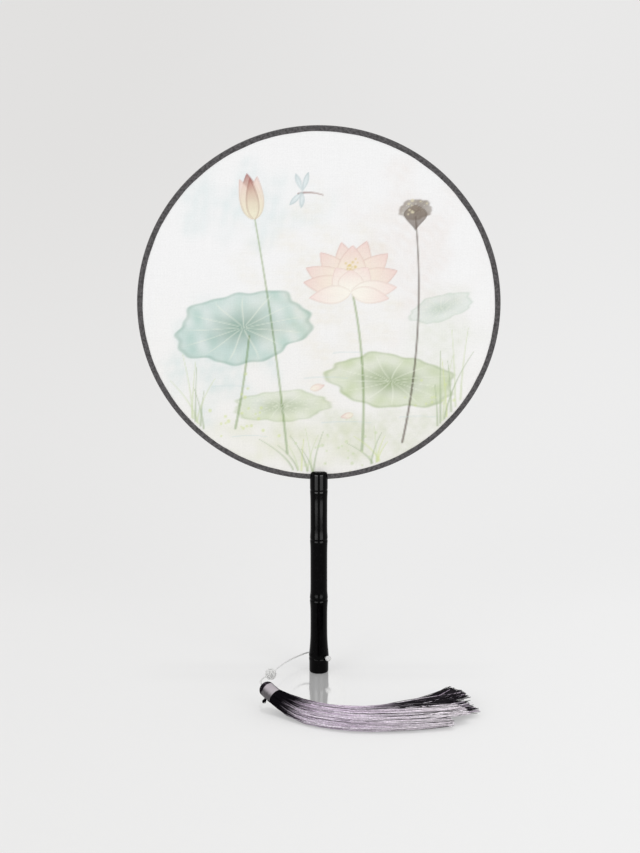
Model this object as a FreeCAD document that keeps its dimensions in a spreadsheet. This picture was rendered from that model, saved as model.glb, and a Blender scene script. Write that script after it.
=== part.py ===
"""Round silk hand fan with a bamboo-joint handle, a bound rim and a tassel on a cord.

The frame has +Z up along the handle, the leaf in the XZ plane with its painted face towards -Y,
and the origin at the middle of the handle's foot. Lengths are in millimetres.
"""

import FreeCAD, Part

import math
import os

from FreeCAD import Placement, Rotation, Vector
import Sketcher

# Driving dimensions, kept in the sheet under these names.
SIZES = {
    # Leaf: hoop, silk and binding tape
    "leaf_diameter": 250.0,
    "rim_width": 3.8,
    "binding_thickness": 0.4,
    "silk_thickness": 0.15,
    "hoop_width": 2.6,
    "hoop_depth": 1.6,
    "tang_width": 5.0,
    "tang_length": 24.0,
    "glue_gap": 0.05,
    # Handle
    "foot_diameter": 13.6,
    "foot_bevel": 0.7,
    "foot_flare_length": 3.2,
    "foot_joint_height": 11.0,
    "foot_joint_diameter": 14.1,
    "low_internode": 43.0,
    "low_joint_diameter": 12.8,
    "middle_internode": 44.2,
    "middle_joint_diameter": 12.5,
    "high_internode": 36.2,
    "top_diameter": 12.5,
    "top_length": 13.6,
    "shoulder_radius": 2.4,
    "waist_diameter": 11.9,
    "joint_flare_length": 8.5,
    "joint_groove_height": 0.8,
    "joint_groove_depth": 0.45,
    "slot_depth": 5.9,
    "slot_clearance": 0.1,
    # Cord and its knots
    "cord_diameter": 1.2,
    "hole_diameter": 2.0,
    "hole_above_joint": 0.8,
    "stopper_diameter": 4.8,
    "stopper_length": 4.2,
    "knot_diameter": 7.6,
    "knot_height": 7.4,
    "running_gap": 0.3,
    # Tassel
    "band_diameter": 11.2,
    "band_thickness": 0.5,
    "band_length": 7.4,
    "dome_length": 3.8,
    "tail_length": 4.2,
    "tail_diameter": 2.2,
    "skirt_middle_width": 29.0,
    "skirt_middle_depth": 15.2,
    "skirt_end_width": 78.0,
    "skirt_end_depth": 11.0,
}

# Where the tassel lies: its knot, the top of its head, and the head's turn and tilt in degrees.
KNOT_CENTRE = Vector(-33.6, -44.5, 13.8)
HEAD_TOP = Vector(-38.7, -76.2, 17.3)
HEAD_TURN = -39.0
HEAD_TILT = 26.0
# The cross hole runs from the left of the back to the right of the front.
HOLE_TURN = 45.0
HOLE_WAY = Vector(math.sin(math.radians(HOLE_TURN)), -math.cos(math.radians(HOLE_TURN)), 0)

# The cord's route from the hole to the knot, as steps that turn it off its mouth and then as points.
MOUTH_STEPS = [Vector(-0.9, 0.9, 0), Vector(-1.5, 0, 0), Vector(-1.7, -2.2, -0.1)]
CORD_ROUTE = [
    Vector(-12.4, -1.2, 11.5),
    Vector(-16.9, -8.9, 11.2),
    Vector(-22.4, -19.4, 11.5),
    Vector(-27.9, -31.2, 12.6),
]
# The cord's route back to the knot, after a straight lead out of the top of the head.
HEAD_LEAD = 2.8
HEAD_ROUTE = [
    Vector(-41.9, -71.3, 19.1),
    Vector(-40.7, -64.7, 18.1),
    Vector(-37.9, -55.9, 16.0),
]
# Sides of the section of a cord and of the binding's loose end, and the share of a run that a bend takes.
CORD_SIDES = 8
BEND_SHARE = 0.45
# Where the dome of the tassel's head has its corners, in degrees from its top.
DOME_TURNS = [30, 60, 90]

# The middle of the skirt on the table beyond the band, as plan points, with each place's share of the
# change from the neck to the middle of the skirt and from there to its end.
SKIRT_PLAN = [
    (-20.6, -91.0, 0.42, 0.0),
    (-9.0, -101.0, 0.78, 0.0),
    (7.0, -110.2, 1.0, 0.0),
    (27.5, -114.2, 1.0, 0.10),
    (51.5, -109.0, 1.0, 0.30),
    (73.0, -99.0, 1.0, 0.64),
    (92.0, -89.0, 1.0, 1.0),
]
TABLE_GAP = 0.2
# Locks of thread: one in the middle of six, each a little smaller than a touching ring would be.
LOCK_COUNT = 7
LOCK_SIDES = 8
LOCK_SHARE = 0.315
RING_SHARE = 2.0 / 3.0
LOCK_STEP = 60.0
LOWEST_SHARE = RING_SHARE * math.sin(math.radians(LOCK_STEP)) + LOCK_SHARE
# How much longer each lock is than the skirt's middle line, and how far its end lifts.
LOCK_ENDS = [(9, 0), (8, 2.2), (-9, 0), (-4, 0), (5, 0), (10, 0), (14, 2.2)]
LOCK_TIP_SHARE = 0.55
# How far the loose end of the neck's binding leans to the side.
TAIL_LEAN = 0.3

doc = FreeCAD.newDocument("round_fan")
sheet = doc.addObject("Spreadsheet::Sheet", "sizes")
for row, (alias, value) in enumerate(SIZES.items(), start=1):
    sheet.set(f"A{row}", alias)
    sheet.set(f"B{row}", str(value))
    sheet.setAlias(f"B{row}", alias)
doc.recompute()

# Places that several pieces share, worked out from the sheet.
LOW_JOINT = "(sizes.foot_joint_height + sizes.low_internode)"
MIDDLE_JOINT = f"({LOW_JOINT} + sizes.middle_internode)"
HIGH_JOINT = f"({MIDDLE_JOINT} + sizes.high_internode)"
HANDLE_LENGTH = f"({HIGH_JOINT} + sizes.top_length)"
SLOT_FLOOR = f"({HANDLE_LENGTH} - sizes.slot_depth)"
HOLE_HEIGHT = "(sizes.foot_joint_height + sizes.hole_above_joint)"
LEAF_RADIUS = "sizes.leaf_diameter / 2"
LEAF_HEIGHT = f"({SLOT_FLOOR} + sizes.glue_gap + sizes.leaf_diameter / 2)"
HOOP_RADIUS = "(sizes.leaf_diameter / 2 - sizes.binding_thickness - sizes.glue_gap)"
SILK_FACE = "(sizes.hoop_depth / 2 + sizes.silk_thickness)"
TAPE_INSIDE = f"({SILK_FACE} + sizes.glue_gap)"
TAPE_OUTSIDE = f"({TAPE_INSIDE} + sizes.binding_thickness)"
STOPPER_SEAT = "(sizes.foot_joint_diameter / 2 + sizes.running_gap)"
BAND_SEAT = "(sizes.band_diameter / 2 - sizes.band_thickness)"
BAND_OUTSIDE = "(sizes.band_diameter / 2 - sizes.glue_gap)"
NECK_FOOT = "(sizes.dome_length + sizes.band_length + 2 * sizes.glue_gap)"
# A regular octagon's side, and the width over its corners, against the width over its flats.
OCTAGON_SIDE = "(sqrt(2) - 1)"
OCTAGON_CORNER = "(1 / cos(22.5))"

nodes = []


def size(expression):
    """The value of an expression on the sheet's sizes."""
    return float(sheet.evalExpression(expression))


def new_body(label):
    body = doc.addObject("PartDesign::Body", label)
    body.Label = label
    nodes.append(body)
    return body


def new_sketch(body, role, name, offset=None):
    """A sketch on one of the body's own origin planes."""
    plane = next(f for f in body.Origin.OriginFeatures if f.Role == role)
    sketch = body.newObject("Sketcher::SketchObject", name)
    sketch.AttachmentSupport = (plane, [""])
    sketch.MapMode = "FlatFace"
    if offset:
        sketch.AttachmentOffset = offset
    return sketch


def tie(sketch, kind, *points, expression):
    """A dimension of the sketch that follows the sheet."""
    index = sketch.addConstraint(Sketcher.Constraint(kind, *points, size(expression)))
    sketch.setExpression(f"Constraints[{index}]", expression)


def tie_point(sketch, geometry, end, across, along):
    """Holds one corner at two expressions, on an axis where one of them is 0."""
    for kind, axis, expression in (("DistanceX", -2, across), ("DistanceY", -1, along)):
        if expression == "0":
            sketch.addConstraint(Sketcher.Constraint("PointOnObject", geometry, end, axis))
        else:
            tie(sketch, kind, -1, 1, geometry, end, expression=expression)


def draw_outline(sketch, corners):
    """A closed outline of straight lines through corners, each a pair of expressions."""
    places = [Vector(size(x), size(y), 0) for x, y in corners]
    edges = []
    for start, end in zip(places, places[1:] + places[:1]):
        edges.append(sketch.addGeometry(Part.LineSegment(start, end)))
    for i, (x, y) in enumerate(corners):
        sketch.addConstraint(Sketcher.Constraint("Coincident", edges[i - 1], 2, edges[i], 1))
        tie_point(sketch, edges[i], 1, x, y)


def revolve(body, sketch, axis, name):
    feature = body.newObject("PartDesign::Revolution", name)
    feature.Profile = sketch
    feature.ReferenceAxis = (sketch, [axis])
    return feature


def cut_through(body, sketch, name, width=None):
    """A pocket to both sides of its sketch: right through, or of a width from the sheet."""
    feature = body.newObject("PartDesign::Pocket", name)
    feature.Profile = sketch
    feature.Midplane = True
    if width:
        feature.Type = "Length"
        feature.setExpression("Length", width)
    else:
        feature.Type = "ThroughAll"
    return feature


# Handle: a turned rod with four joints, each a grooved swelling that tapers to a straight waist
JOINTS = [
    ("sizes.foot_joint_height", "sizes.foot_joint_diameter / 2"),
    (LOW_JOINT, "sizes.low_joint_diameter / 2"),
    (MIDDLE_JOINT, "sizes.middle_joint_diameter / 2"),
    (HIGH_JOINT, "sizes.top_diameter / 2"),
]
WAIST_RADIUS = "sizes.waist_diameter / 2"


def handle_outline():
    """Half of the handle's section, from the middle of the foot up to the middle of the top."""
    foot = "sizes.foot_diameter / 2"
    corners = [
        ("0", "0"),
        (f"{foot} - sizes.foot_bevel", "0"),
        (foot, "sizes.foot_bevel"),
        (foot, "sizes.foot_joint_height - sizes.joint_groove_height - sizes.foot_flare_length"),
    ]
    for i, (height, radius) in enumerate(JOINTS):
        below = f"{height} - sizes.joint_groove_height"
        above = f"{height} + sizes.joint_groove_height"
        if i > 0:
            corners.append((WAIST_RADIUS, f"{below} - sizes.joint_flare_length"))
        corners.append((radius, below))
        corners.append((f"{radius} - sizes.joint_groove_depth", height))
        corners.append((radius, above))
        if i < len(JOINTS) - 1:
            corners.append((WAIST_RADIUS, f"{above} + sizes.joint_flare_length"))
    top = "sizes.top_diameter / 2"
    half_way = "sizes.shoulder_radius * (1 - cos(45))"
    corners.append((top, f"{HANDLE_LENGTH} - sizes.shoulder_radius"))
    corners.append((f"{top} - {half_way}", f"{HANDLE_LENGTH} - {half_way}"))
    corners.append((f"{top} - sizes.shoulder_radius", HANDLE_LENGTH))
    corners.append(("0", HANDLE_LENGTH))
    return corners


def build_handle():
    body = new_body("handle")
    outline = new_sketch(body, "XZ_Plane", "handle_section")
    draw_outline(outline, handle_outline())
    revolve(body, outline, "V_Axis", "handle_turning")

    half_slot = f"({TAPE_OUTSIDE} + sizes.slot_clearance)"
    above = f"{HANDLE_LENGTH} + sizes.slot_depth"
    slot = new_sketch(body, "YZ_Plane", "slot_section")
    draw_outline(
        slot,
        [
            (f"-{half_slot}", SLOT_FLOOR),
            (half_slot, SLOT_FLOOR),
            (half_slot, above),
            (f"-{half_slot}", above),
        ],
    )
    cut_through(body, slot, "rim_slot")

    half_tang = "(sizes.tang_width / 2 + sizes.slot_clearance)"
    mortise_floor = f"{SLOT_FLOOR} - sizes.tang_length - sizes.slot_clearance"
    mortise = new_sketch(body, "XZ_Plane", "mortise_section")
    draw_outline(
        mortise,
        [
            (f"-{half_tang}", mortise_floor),
            (half_tang, mortise_floor),
            (half_tang, above),
            (f"-{half_tang}", above),
        ],
    )
    cut_through(body, mortise, "tang_mortise", "sizes.hoop_depth + 2 * sizes.slot_clearance")

    turned = Placement(Vector(), Rotation(Vector(0, 1, 0), HOLE_TURN))
    hole = new_sketch(body, "XZ_Plane", "hole_section", turned)
    circle = hole.addGeometry(Part.Circle(Vector(0, size(HOLE_HEIGHT), 0), Vector(0, 0, 1), 1))
    tie(hole, "Diameter", circle, expression="sizes.hole_diameter")
    tie_point(hole, circle, 3, "0", HOLE_HEIGHT)
    cut_through(body, hole, "cord_hole")


# Hoop: a flat strip bent to a ring, whose two ends turn down side by side as a tang in the handle
def build_hoop():
    body = new_body("hoop")
    body.setExpression("Placement.Base.z", LEAF_HEIGHT)
    inside = f"{HOOP_RADIUS} - sizes.hoop_width"
    half = "sizes.hoop_depth / 2"
    section = new_sketch(body, "XY_Plane", "hoop_section")
    draw_outline(
        section,
        [(inside, f"-{half}"), (HOOP_RADIUS, f"-{half}"), (HOOP_RADIUS, half), (inside, half)],
    )
    revolve(body, section, "V_Axis", "hoop_ring")

    half_tang = "sizes.tang_width / 2"
    tang_top = f"-({HOOP_RADIUS} - sizes.hoop_width / 2)"
    tang_foot = f"-({LEAF_RADIUS} + sizes.tang_length)"
    tang = new_sketch(body, "XZ_Plane", "tang_section")
    draw_outline(
        tang,
        [
            (f"-{half_tang}", tang_foot),
            (half_tang, tang_foot),
            (half_tang, tang_top),
            (f"-{half_tang}", tang_top),
        ],
    )
    pad = body.newObject("PartDesign::Pad", "tang")
    pad.Profile = tang
    pad.Midplane = True
    pad.setExpression("Length", "sizes.hoop_depth")


# Silk: a disc glued to each face of the hoop
def build_silk(label, face):
    disc = doc.addObject("Part::Cylinder", label)
    disc.Label = label
    disc.setExpression("Radius", HOOP_RADIUS)
    disc.setExpression("Height", "sizes.silk_thickness")
    disc.Placement = Placement(Vector(), Rotation(Vector(1, 0, 0), -90))
    disc.setExpression("Placement.Base.y", face)
    disc.setExpression("Placement.Base.z", LEAF_HEIGHT)
    nodes.append(disc)


# Edge binding: tape folded over the rim, whose ends butt against the tang inside the slot
def build_edge_binding():
    body = new_body("edge_binding")
    body.setExpression("Placement.Base.z", LEAF_HEIGHT)
    wall = f"{LEAF_RADIUS} - sizes.binding_thickness"
    edge = f"{LEAF_RADIUS} - sizes.rim_width"
    corners = [
        (f"-{TAPE_OUTSIDE}", edge),
        (f"-{TAPE_INSIDE}", edge),
        (f"-{TAPE_INSIDE}", wall),
        (TAPE_INSIDE, wall),
        (TAPE_INSIDE, edge),
        (TAPE_OUTSIDE, edge),
        (TAPE_OUTSIDE, wall),
        (TAPE_INSIDE, LEAF_RADIUS),
        (f"-{TAPE_INSIDE}", LEAF_RADIUS),
        (f"-{TAPE_OUTSIDE}", wall),
    ]
    section = new_sketch(body, "YZ_Plane", "tape_section")
    draw_outline(section, corners)
    tape = revolve(body, section, "H_Axis", "tape_round_the_rim")
    tape.Midplane = True
    butt = "(sizes.tang_width / 2 + sizes.slot_clearance)"
    tape.setExpression("Angle", f"360 - 2 * asin({butt} / ({wall})) / 1 deg")


def octagon_outline(radius, half_length, middle):
    """The outer corners of a knot's half section, from its near flat to the middle of its far one."""
    return [
        (f"{radius} * {OCTAGON_SIDE}", f"{middle} - {half_length}"),
        (radius, f"{middle} - {half_length} * {OCTAGON_SIDE}"),
        (radius, f"{middle} + {half_length} * {OCTAGON_SIDE}"),
        (f"{radius} * {OCTAGON_SIDE}", f"{middle} + {half_length}"),
        ("0", f"{middle} + {half_length}"),
    ]


# Stopper knot: the cord's knotted end outside the hole, and the stretch of cord inside it
def build_stopper_knot():
    body = new_body("stopper_knot")
    body.Placement = Placement(Vector(), Rotation(Vector(0, 0, 1), HOLE_WAY))
    body.setExpression("Placement.Base.z", HOLE_HEIGHT)
    cord = "sizes.cord_diameter / 2"
    middle = f"{STOPPER_SEAT} + sizes.stopper_length / 2"
    knot = octagon_outline("sizes.stopper_diameter / 2", "sizes.stopper_length / 2", middle)
    stem = [("0", f"-{STOPPER_SEAT}"), (cord, f"-{STOPPER_SEAT}"), (cord, STOPPER_SEAT)]
    section = new_sketch(body, "XZ_Plane", "stopper_section")
    draw_outline(section, stem + knot)
    revolve(body, section, "V_Axis", "stopper_turning")


# Head knot: the round knot on the cord, on which the tassel turns
def build_head_knot():
    body = new_body("head_knot")
    body.Placement.Base = KNOT_CENTRE
    half = "sizes.knot_height / 2"
    knot = octagon_outline("sizes.knot_diameter / 2", half, "0")
    section = new_sketch(body, "XZ_Plane", "knot_section")
    draw_outline(section, [("0", f"-{half}")] + knot)
    revolve(body, section, "V_Axis", "knot_turning")


def polygon(half_width, half_depth, place, sides):
    """The corners of a section, half_width along the place's X and half_depth along its Y."""
    corners = []
    for i in range(sides):
        turn = 2 * math.pi * i / sides
        corner = Vector(half_width * math.cos(turn), half_depth * math.sin(turn), 0)
        corners.append(place.multVec(corner))
    return corners


def closed_wire(corners):
    return Part.makePolygon(corners + corners[:1])


def faceted_loft(rings):
    """A solid through rings of corners, with two flat triangles to each side between two rings."""
    faces = [Part.Face(closed_wire(rings[0])), Part.Face(closed_wire(rings[-1]))]
    for ring, following in zip(rings, rings[1:]):
        for i, corner in enumerate(ring):
            faces.append(Part.Face(closed_wire([ring[i - 1], corner, following[i]])))
            faces.append(Part.Face(closed_wire([ring[i - 1], following[i], following[i - 1]])))
    shell = Part.makeShell(faces)
    shell.sewShape()
    return Part.makeSolid(shell)


def add_shape(label, shape):
    """A node whose shape is worked out here, where no sketch fits its form."""
    feature = doc.addObject("Part::Feature", label)
    feature.Label = label
    feature.Shape = shape
    nodes.append(feature)


def cord_tube(label, points):
    """A many-sided tube along straight runs, with the largest arc that two runs allow at each point."""
    edges = []
    start = points[0]
    radii = []
    for last, corner, following in zip(points, points[1:], points[2:]):
        into = (corner - last).normalize()
        out = (following - corner).normalize()
        half_turn = into.getAngle(out) / 2
        reach = BEND_SHARE * min((corner - last).Length, (following - corner).Length)
        radii.append(reach / math.tan(half_turn))
        inner = (out - into).normalize()
        depth = radii[-1] * (1 / math.cos(half_turn) - 1)
        arc_start = corner - into * reach
        arc_end = corner + out * reach
        edges.append(Part.LineSegment(start, arc_start).toShape())
        edges.append(Part.Arc(arc_start, corner + inner * depth, arc_end).toShape())
        start = arc_end
    edges.append(Part.LineSegment(start, points[-1]).toShape())
    path = Part.Wire(edges)
    radius = size("sizes.cord_diameter / 2")
    start_frame = Placement(points[0], Rotation(Vector(0, 0, 1), points[1] - points[0]))
    ring = closed_wire(polygon(radius, radius, start_frame, CORD_SIDES))
    tube = path.makePipeShell([ring], True, False)
    add_shape(label, tube)
    runs = [(b - a).Length for a, b in zip(points, points[1:])]
    print(label, "runs", [round(r, 1) for r in runs], "radii", [round(r, 1) for r in radii])
    share = tube.Volume / (Part.Face(ring).Area * path.Length)
    print(label, "length", round(path.Length, 1), "volume against section times length", round(share, 4))


def toward(point, target, distance):
    """The place on the way from target to point that lies that far from target."""
    return target + (point - target).normalize() * distance


def build_hanging_cord():
    mouth = Vector(0, 0, size(HOLE_HEIGHT)) - HOLE_WAY * size(STOPPER_SEAT)
    points = [mouth]
    for step in MOUTH_STEPS:
        points.append(points[-1] + step)
    points += CORD_ROUTE
    # The cord's end is tied into the knot, a diameter deep.
    depth = size("sizes.knot_diameter / 2 - sizes.cord_diameter")
    points.append(toward(CORD_ROUTE[-1], KNOT_CENTRE, depth))
    cord_tube("hanging_cord", points)


def head_placement():
    """The tassel's own frame: its Z runs from the top of the head down into the skirt."""
    turn = math.radians(HEAD_TURN)
    tilt = math.radians(HEAD_TILT)
    flat = Vector(math.cos(turn), math.sin(turn), 0)
    axis = flat * math.cos(tilt) - Vector(0, 0, math.sin(tilt))
    return Placement(HEAD_TOP, Rotation(Vector(0, 0, 1), axis))


def build_head_cord():
    lead_end = head_placement().multVec(Vector(0, 0, -HEAD_LEAD))
    clear = size(f"sizes.knot_diameter / 2 * {OCTAGON_CORNER} + sizes.running_gap")
    end = toward(HEAD_ROUTE[-1], KNOT_CENTRE, clear)
    cord_tube("head_cord", [HEAD_TOP, lead_end] + HEAD_ROUTE + [end])


# Tassel head: the dome of folded thread, with a neck that the band is wound on
def build_tassel_head():
    body = new_body("tassel_head")
    body.Placement = head_placement()
    outside = "sizes.band_diameter / 2"
    corners = [("0", "0"), ("sizes.cord_diameter / 2", "0")]
    for turn in DOME_TURNS:
        corners.append((f"{outside} * sin({turn})", f"sizes.dome_length * (1 - cos({turn}))"))
    corners.append((BAND_SEAT, "sizes.dome_length"))
    corners.append((BAND_SEAT, NECK_FOOT))
    corners.append(("0", NECK_FOOT))
    section = new_sketch(body, "XZ_Plane", "head_section")
    draw_outline(section, corners)
    revolve(body, section, "V_Axis", "head_turning")


# Neck band: a satin ribbon round the neck
def build_neck_band():
    body = new_body("neck_band")
    body.Placement = head_placement()
    inside = f"{BAND_SEAT} + sizes.glue_gap"
    start = "sizes.dome_length + sizes.glue_gap"
    end = f"{start} + sizes.band_length"
    section = new_sketch(body, "XZ_Plane", "band_section")
    draw_outline(section, [(inside, start), (BAND_OUTSIDE, start), (BAND_OUTSIDE, end), (inside, end)])
    revolve(body, section, "V_Axis", "band_turning")


# Binding tail: the cut end of the thread that ties the neck, pointing out under the band
def build_binding_tail():
    head = head_placement()
    axis = head.Rotation.multVec(Vector(0, 0, 1))
    down = (Vector(0, 0, -1) + axis * axis.z).normalize()
    out = (down - axis.cross(down) * TAIL_LEAN).normalize()
    frame = Rotation(Vector(0, 0, 1), out)
    foot = HEAD_TOP + axis * size("sizes.dome_length + sizes.band_length / 2")
    foot += out * size(BAND_OUTSIDE)
    tip = foot + out * size("sizes.tail_length")
    radius = size("sizes.tail_diameter / 2")
    foot_ring = polygon(radius / 2, radius / 2, Placement(foot, frame), CORD_SIDES)
    tip_ring = polygon(radius, radius, Placement(tip, frame), CORD_SIDES)
    add_shape("binding_tail", faceted_loft([foot_ring, tip_ring]))


def blend(start, end, share):
    return start + (end - start) * share


def skirt_stations():
    """Along the skirt: each middle point, and the bundle's half width and half depth there."""
    neck = size(BAND_SEAT)
    root = head_placement().multVec(Vector(0, 0, size(NECK_FOOT)))
    stations = [(root, neck, neck)]
    for x, y, to_middle, to_end in SKIRT_PLAN:
        width = blend(neck, size("sizes.skirt_middle_width / 2"), to_middle)
        width = blend(width, size("sizes.skirt_end_width / 2"), to_end)
        depth = blend(neck, size("sizes.skirt_middle_depth / 2"), to_middle)
        depth = blend(depth, size("sizes.skirt_end_depth / 2"), to_end)
        height = TABLE_GAP + depth * LOWEST_SHARE
        height += (root.z - height) * (1 - to_middle) ** 2
        stations.append((Vector(x, y, height), width, depth))
    return stations


def skirt_frames(middles):
    """At each middle point, the rotation that puts Z along the skirt and X level across it."""
    first = head_placement().Rotation.multVec(Vector(0, 0, 1))
    ways = [first]
    for last, following in zip(middles, middles[2:]):
        ways.append((following - last).normalize())
    ways.append((middles[-1] - middles[-2]).normalize())
    frames = []
    for way in ways:
        across = Vector(0, 0, 1).cross(way).normalize()
        frames.append(Rotation(across, way.cross(across), way, "ZXY"))
    return frames


# Skirt: locks of thread that leave the neck as a round bundle and lie flatter and wider to their ends
def build_skirt():
    stations = skirt_stations()
    frames = skirt_frames([middle for middle, _, _ in stations])
    for lock in range(LOCK_COUNT):
        turn = math.radians(LOCK_STEP * lock)
        off = RING_SHARE if lock else 0.0
        places = []
        for (middle, width, depth), frame in zip(stations, frames):
            step = Vector(off * math.cos(turn) * width, off * math.sin(turn) * depth, 0)
            places.append(middle + frame.multVec(step))
        longer, lift = LOCK_ENDS[lock]
        places[-1] += (places[-1] - places[-2]).normalize() * longer + Vector(0, 0, lift)
        shares = [LOCK_SHARE] * (len(places) - 1) + [LOCK_SHARE * LOCK_TIP_SHARE]
        rings = []
        for (_, width, depth), place, frame, share in zip(stations, places, skirt_frames(places), shares):
            rings.append(polygon(width * share, depth * share, Placement(place, frame), LOCK_SIDES))
        add_shape(f"skirt_lock_{lock + 1}", faceted_loft(rings))


build_handle()
build_hoop()
build_silk("front_silk", f"-{SILK_FACE}")
build_silk("rear_silk", "sizes.hoop_depth / 2")
build_edge_binding()
build_stopper_knot()
build_hanging_cord()
build_head_knot()
build_head_cord()
build_tassel_head()
build_neck_band()
build_binding_tail()
build_skirt()
doc.recompute()

failed = [o.Name for o in doc.Objects if {"Invalid", "Error"} & set(o.State)]
if failed:
    raise RuntimeError(f"these did not build: {failed}")
for node in nodes:
    if node.Shape.isNull() or not node.Shape.isValid():
        raise RuntimeError(f"{node.Label} has no valid shape")

os.makedirs("parts", exist_ok=True)
for node in nodes:
    node.Shape.exportStep(os.path.join("parts", f"{node.Label}.step"))
    print(node.Label, len(node.Shape.Solids), round(node.Shape.Volume, 2))
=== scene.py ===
"""Looks of a round silk hand fan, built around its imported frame.

Run as a script: it registers its operators, calls them in order and leaves the finished scene.
"""

import math

import bmesh
import bpy
import numpy as np
from bpy.props import FloatProperty, FloatVectorProperty, IntProperty, PointerProperty
from bpy.types import Operator, Panel, PropertyGroup
from mathutils import Matrix, Vector


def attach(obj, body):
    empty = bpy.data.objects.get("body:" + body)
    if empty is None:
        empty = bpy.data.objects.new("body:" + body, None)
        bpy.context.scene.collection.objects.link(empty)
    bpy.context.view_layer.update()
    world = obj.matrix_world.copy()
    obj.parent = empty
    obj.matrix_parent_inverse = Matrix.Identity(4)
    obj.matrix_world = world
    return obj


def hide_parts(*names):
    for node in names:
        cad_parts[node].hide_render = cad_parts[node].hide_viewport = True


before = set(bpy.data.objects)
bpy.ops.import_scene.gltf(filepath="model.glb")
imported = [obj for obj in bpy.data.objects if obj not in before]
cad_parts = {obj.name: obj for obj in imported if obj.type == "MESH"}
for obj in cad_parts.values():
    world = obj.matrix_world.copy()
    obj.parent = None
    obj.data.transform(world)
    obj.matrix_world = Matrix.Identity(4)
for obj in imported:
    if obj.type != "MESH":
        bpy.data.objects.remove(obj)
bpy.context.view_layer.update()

bl_info = {
    "name": "Round silk fan",
    "version": (1, 0, 0),
    "blender": (4, 5, 0),
    "location": "View3D > Sidebar > Fan",
    "description": "Dresses the frame of a round silk fan with its finished pieces",
    "category": "Object",
}

MM = 0.001
# The leaf's middle above the table, in millimetres.
LEAF_HEIGHT = 267.15
# The cross hole of the handle: its height in millimetres and the way that it runs.
HOLE_HEIGHT = 11.8
HOLE_WAY = Vector((math.sqrt(0.5), -math.sqrt(0.5), 0.0))
# The tassel: its knot, the top of its head and the way that the head points, in millimetres.
KNOT_CENTRE = Vector((-33.6, -44.5, 13.8))
HEAD_TOP = Vector((-38.7, -76.2, 17.3))
HEAD_TURN = math.radians(-39.0)
HEAD_TILT = math.radians(26.0)


# Settings


def colour(name, description, default):
    """A colour that the user may change."""
    return FloatVectorProperty(
        name=name, description=description, default=default, subtype="COLOR", size=3, min=0.0, max=1.0
    )


def length(name, description, millimetres):
    """A length that the user may change."""
    return FloatProperty(
        name=name, description=description, default=millimetres * MM, unit="LENGTH", precision=5, min=0.0
    )


def part(name, description, default):
    """A share of the whole that the user may change."""
    return FloatProperty(
        name=name, description=description, default=default, subtype="FACTOR", min=0.0, max=1.0
    )


def amount(name, description, default, unit="NONE"):
    """An amount that the user may change."""
    return FloatProperty(name=name, description=description, default=default, unit=unit, min=0.0)


def number(name, description, default, least):
    """A count that the user may change."""
    return IntProperty(name=name, description=description, default=default, min=least)


class LeafSettings(PropertyGroup):
    silk: colour("Silk", "Bare silk of the leaf", (0.903, 0.903, 0.905))
    aged_silk: colour("Aged silk", "Bare silk beside the handle", (0.875, 0.862, 0.835))
    tape: colour("Rim tape", "Woven tape folded over the rim", (0.081, 0.077, 0.079))
    bamboo: colour("Hoop", "Bamboo strip inside the rim", (0.55, 0.38, 0.18))
    mesh_step: length("Painting step", "Distance between the painted points of the front silk", 0.71)
    rear_step: length("Rear step", "Distance between the painted points of the rear silk", 1.4)
    show_through: part("Show-through", "Share of the painting that shows on the back", 0.3)


class HandleSettings(PropertyGroup):
    lacquer: colour("Lacquer", "Black lacquer of the handle", (0.0007, 0.0006, 0.0007))
    gloss: part("Roughness", "Roughness of the lacquer", 0.12)
    turns: number("Facets", "Steps of the handle's turning", 48, 16)


class TasselSettings(PropertyGroup):
    cord: colour("Cord", "White silk cord", (0.9, 0.9, 0.89))
    dark_thread: colour("Dark thread", "Thread beside the band and of the dark locks", (0.004, 0.003, 0.005))
    lilac_thread: colour("Lilac thread", "Thread of the skirt's middle", (0.64, 0.53, 0.66))
    pale_thread: colour("Pale thread", "Palest thread of the skirt's middle", (0.88, 0.82, 0.89))
    # The colour of the skirt's threads towards its near end, paler than its middle.
    near_end_thread: colour("Bleached thread", "Thread at the near end of the skirt", (0.94, 0.9, 0.92))
    # The satin's colour where its painted sheen is brightest; between, the ribbon is painted darker as shade.
    satin: colour("Satin", "Silver ribbon round the neck, where it is brightest", (0.44, 0.40, 0.43))
    cord_diameter: length("Cord diameter", "Thickness of the twisted cord", 1.2)
    thread_diameter: length("Thread diameter", "Thickness of a thread of the skirt", 0.4)
    threads: number("Threads in a lock", "Threads in each lock of the skirt", 165, 8)


class StageSettings(PropertyGroup):
    near_floor: colour("Near floor", "Table in front on the right", (0.867, 0.867, 0.867))
    far_floor: colour("Far floor", "Table behind on the left", (0.749, 0.741, 0.733))
    backdrop: colour("Backdrop", "Pale room behind the table", (0.84, 0.84, 0.835))
    polish: part("Polish", "Share of the mirror in the table round the foot, at a low view", 1.0)
    room_light: amount("Room light", "Even light of the room", 0.72)
    top_light: amount("Top light", "Strength of the light from above", 0.5)
    front_light: amount("Front light", "Strength of each of the two broad lights in front", 0.54)
    gleam_power: amount("Gleam power", "Power of each low lamp mirrored between the joints", 1.4, "POWER")
    glint_power: amount("Glint power", "Power of each higher lamp mirrored in the joints", 3.1, "POWER")
    focal_length: amount("Focal length", "Of the camera, on a picture 36 mm tall", 138.75, "CAMERA")


class FanSettings(PropertyGroup):
    leaf: PointerProperty(type=LeafSettings, name="Leaf", description="Leaf and rim")
    handle: PointerProperty(type=HandleSettings, name="Handle", description="Handle")
    tassel: PointerProperty(type=TasselSettings, name="Tassel", description="Cord and tassel")
    stage: PointerProperty(type=StageSettings, name="Stage", description="Table, lamps and camera")


# Meshes and pieces


def linked(name, data):
    """A new object in the scene."""
    thing = bpy.data.objects.new(name, data)
    bpy.context.scene.collection.objects.link(thing)
    return thing


def smoothed(mesh, sharp_angle):
    """The mesh shaded smooth but for its sharp edges."""
    mesh.shade_smooth()
    mesh.set_sharp_from_angle(angle=math.radians(sharp_angle))
    return mesh


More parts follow.
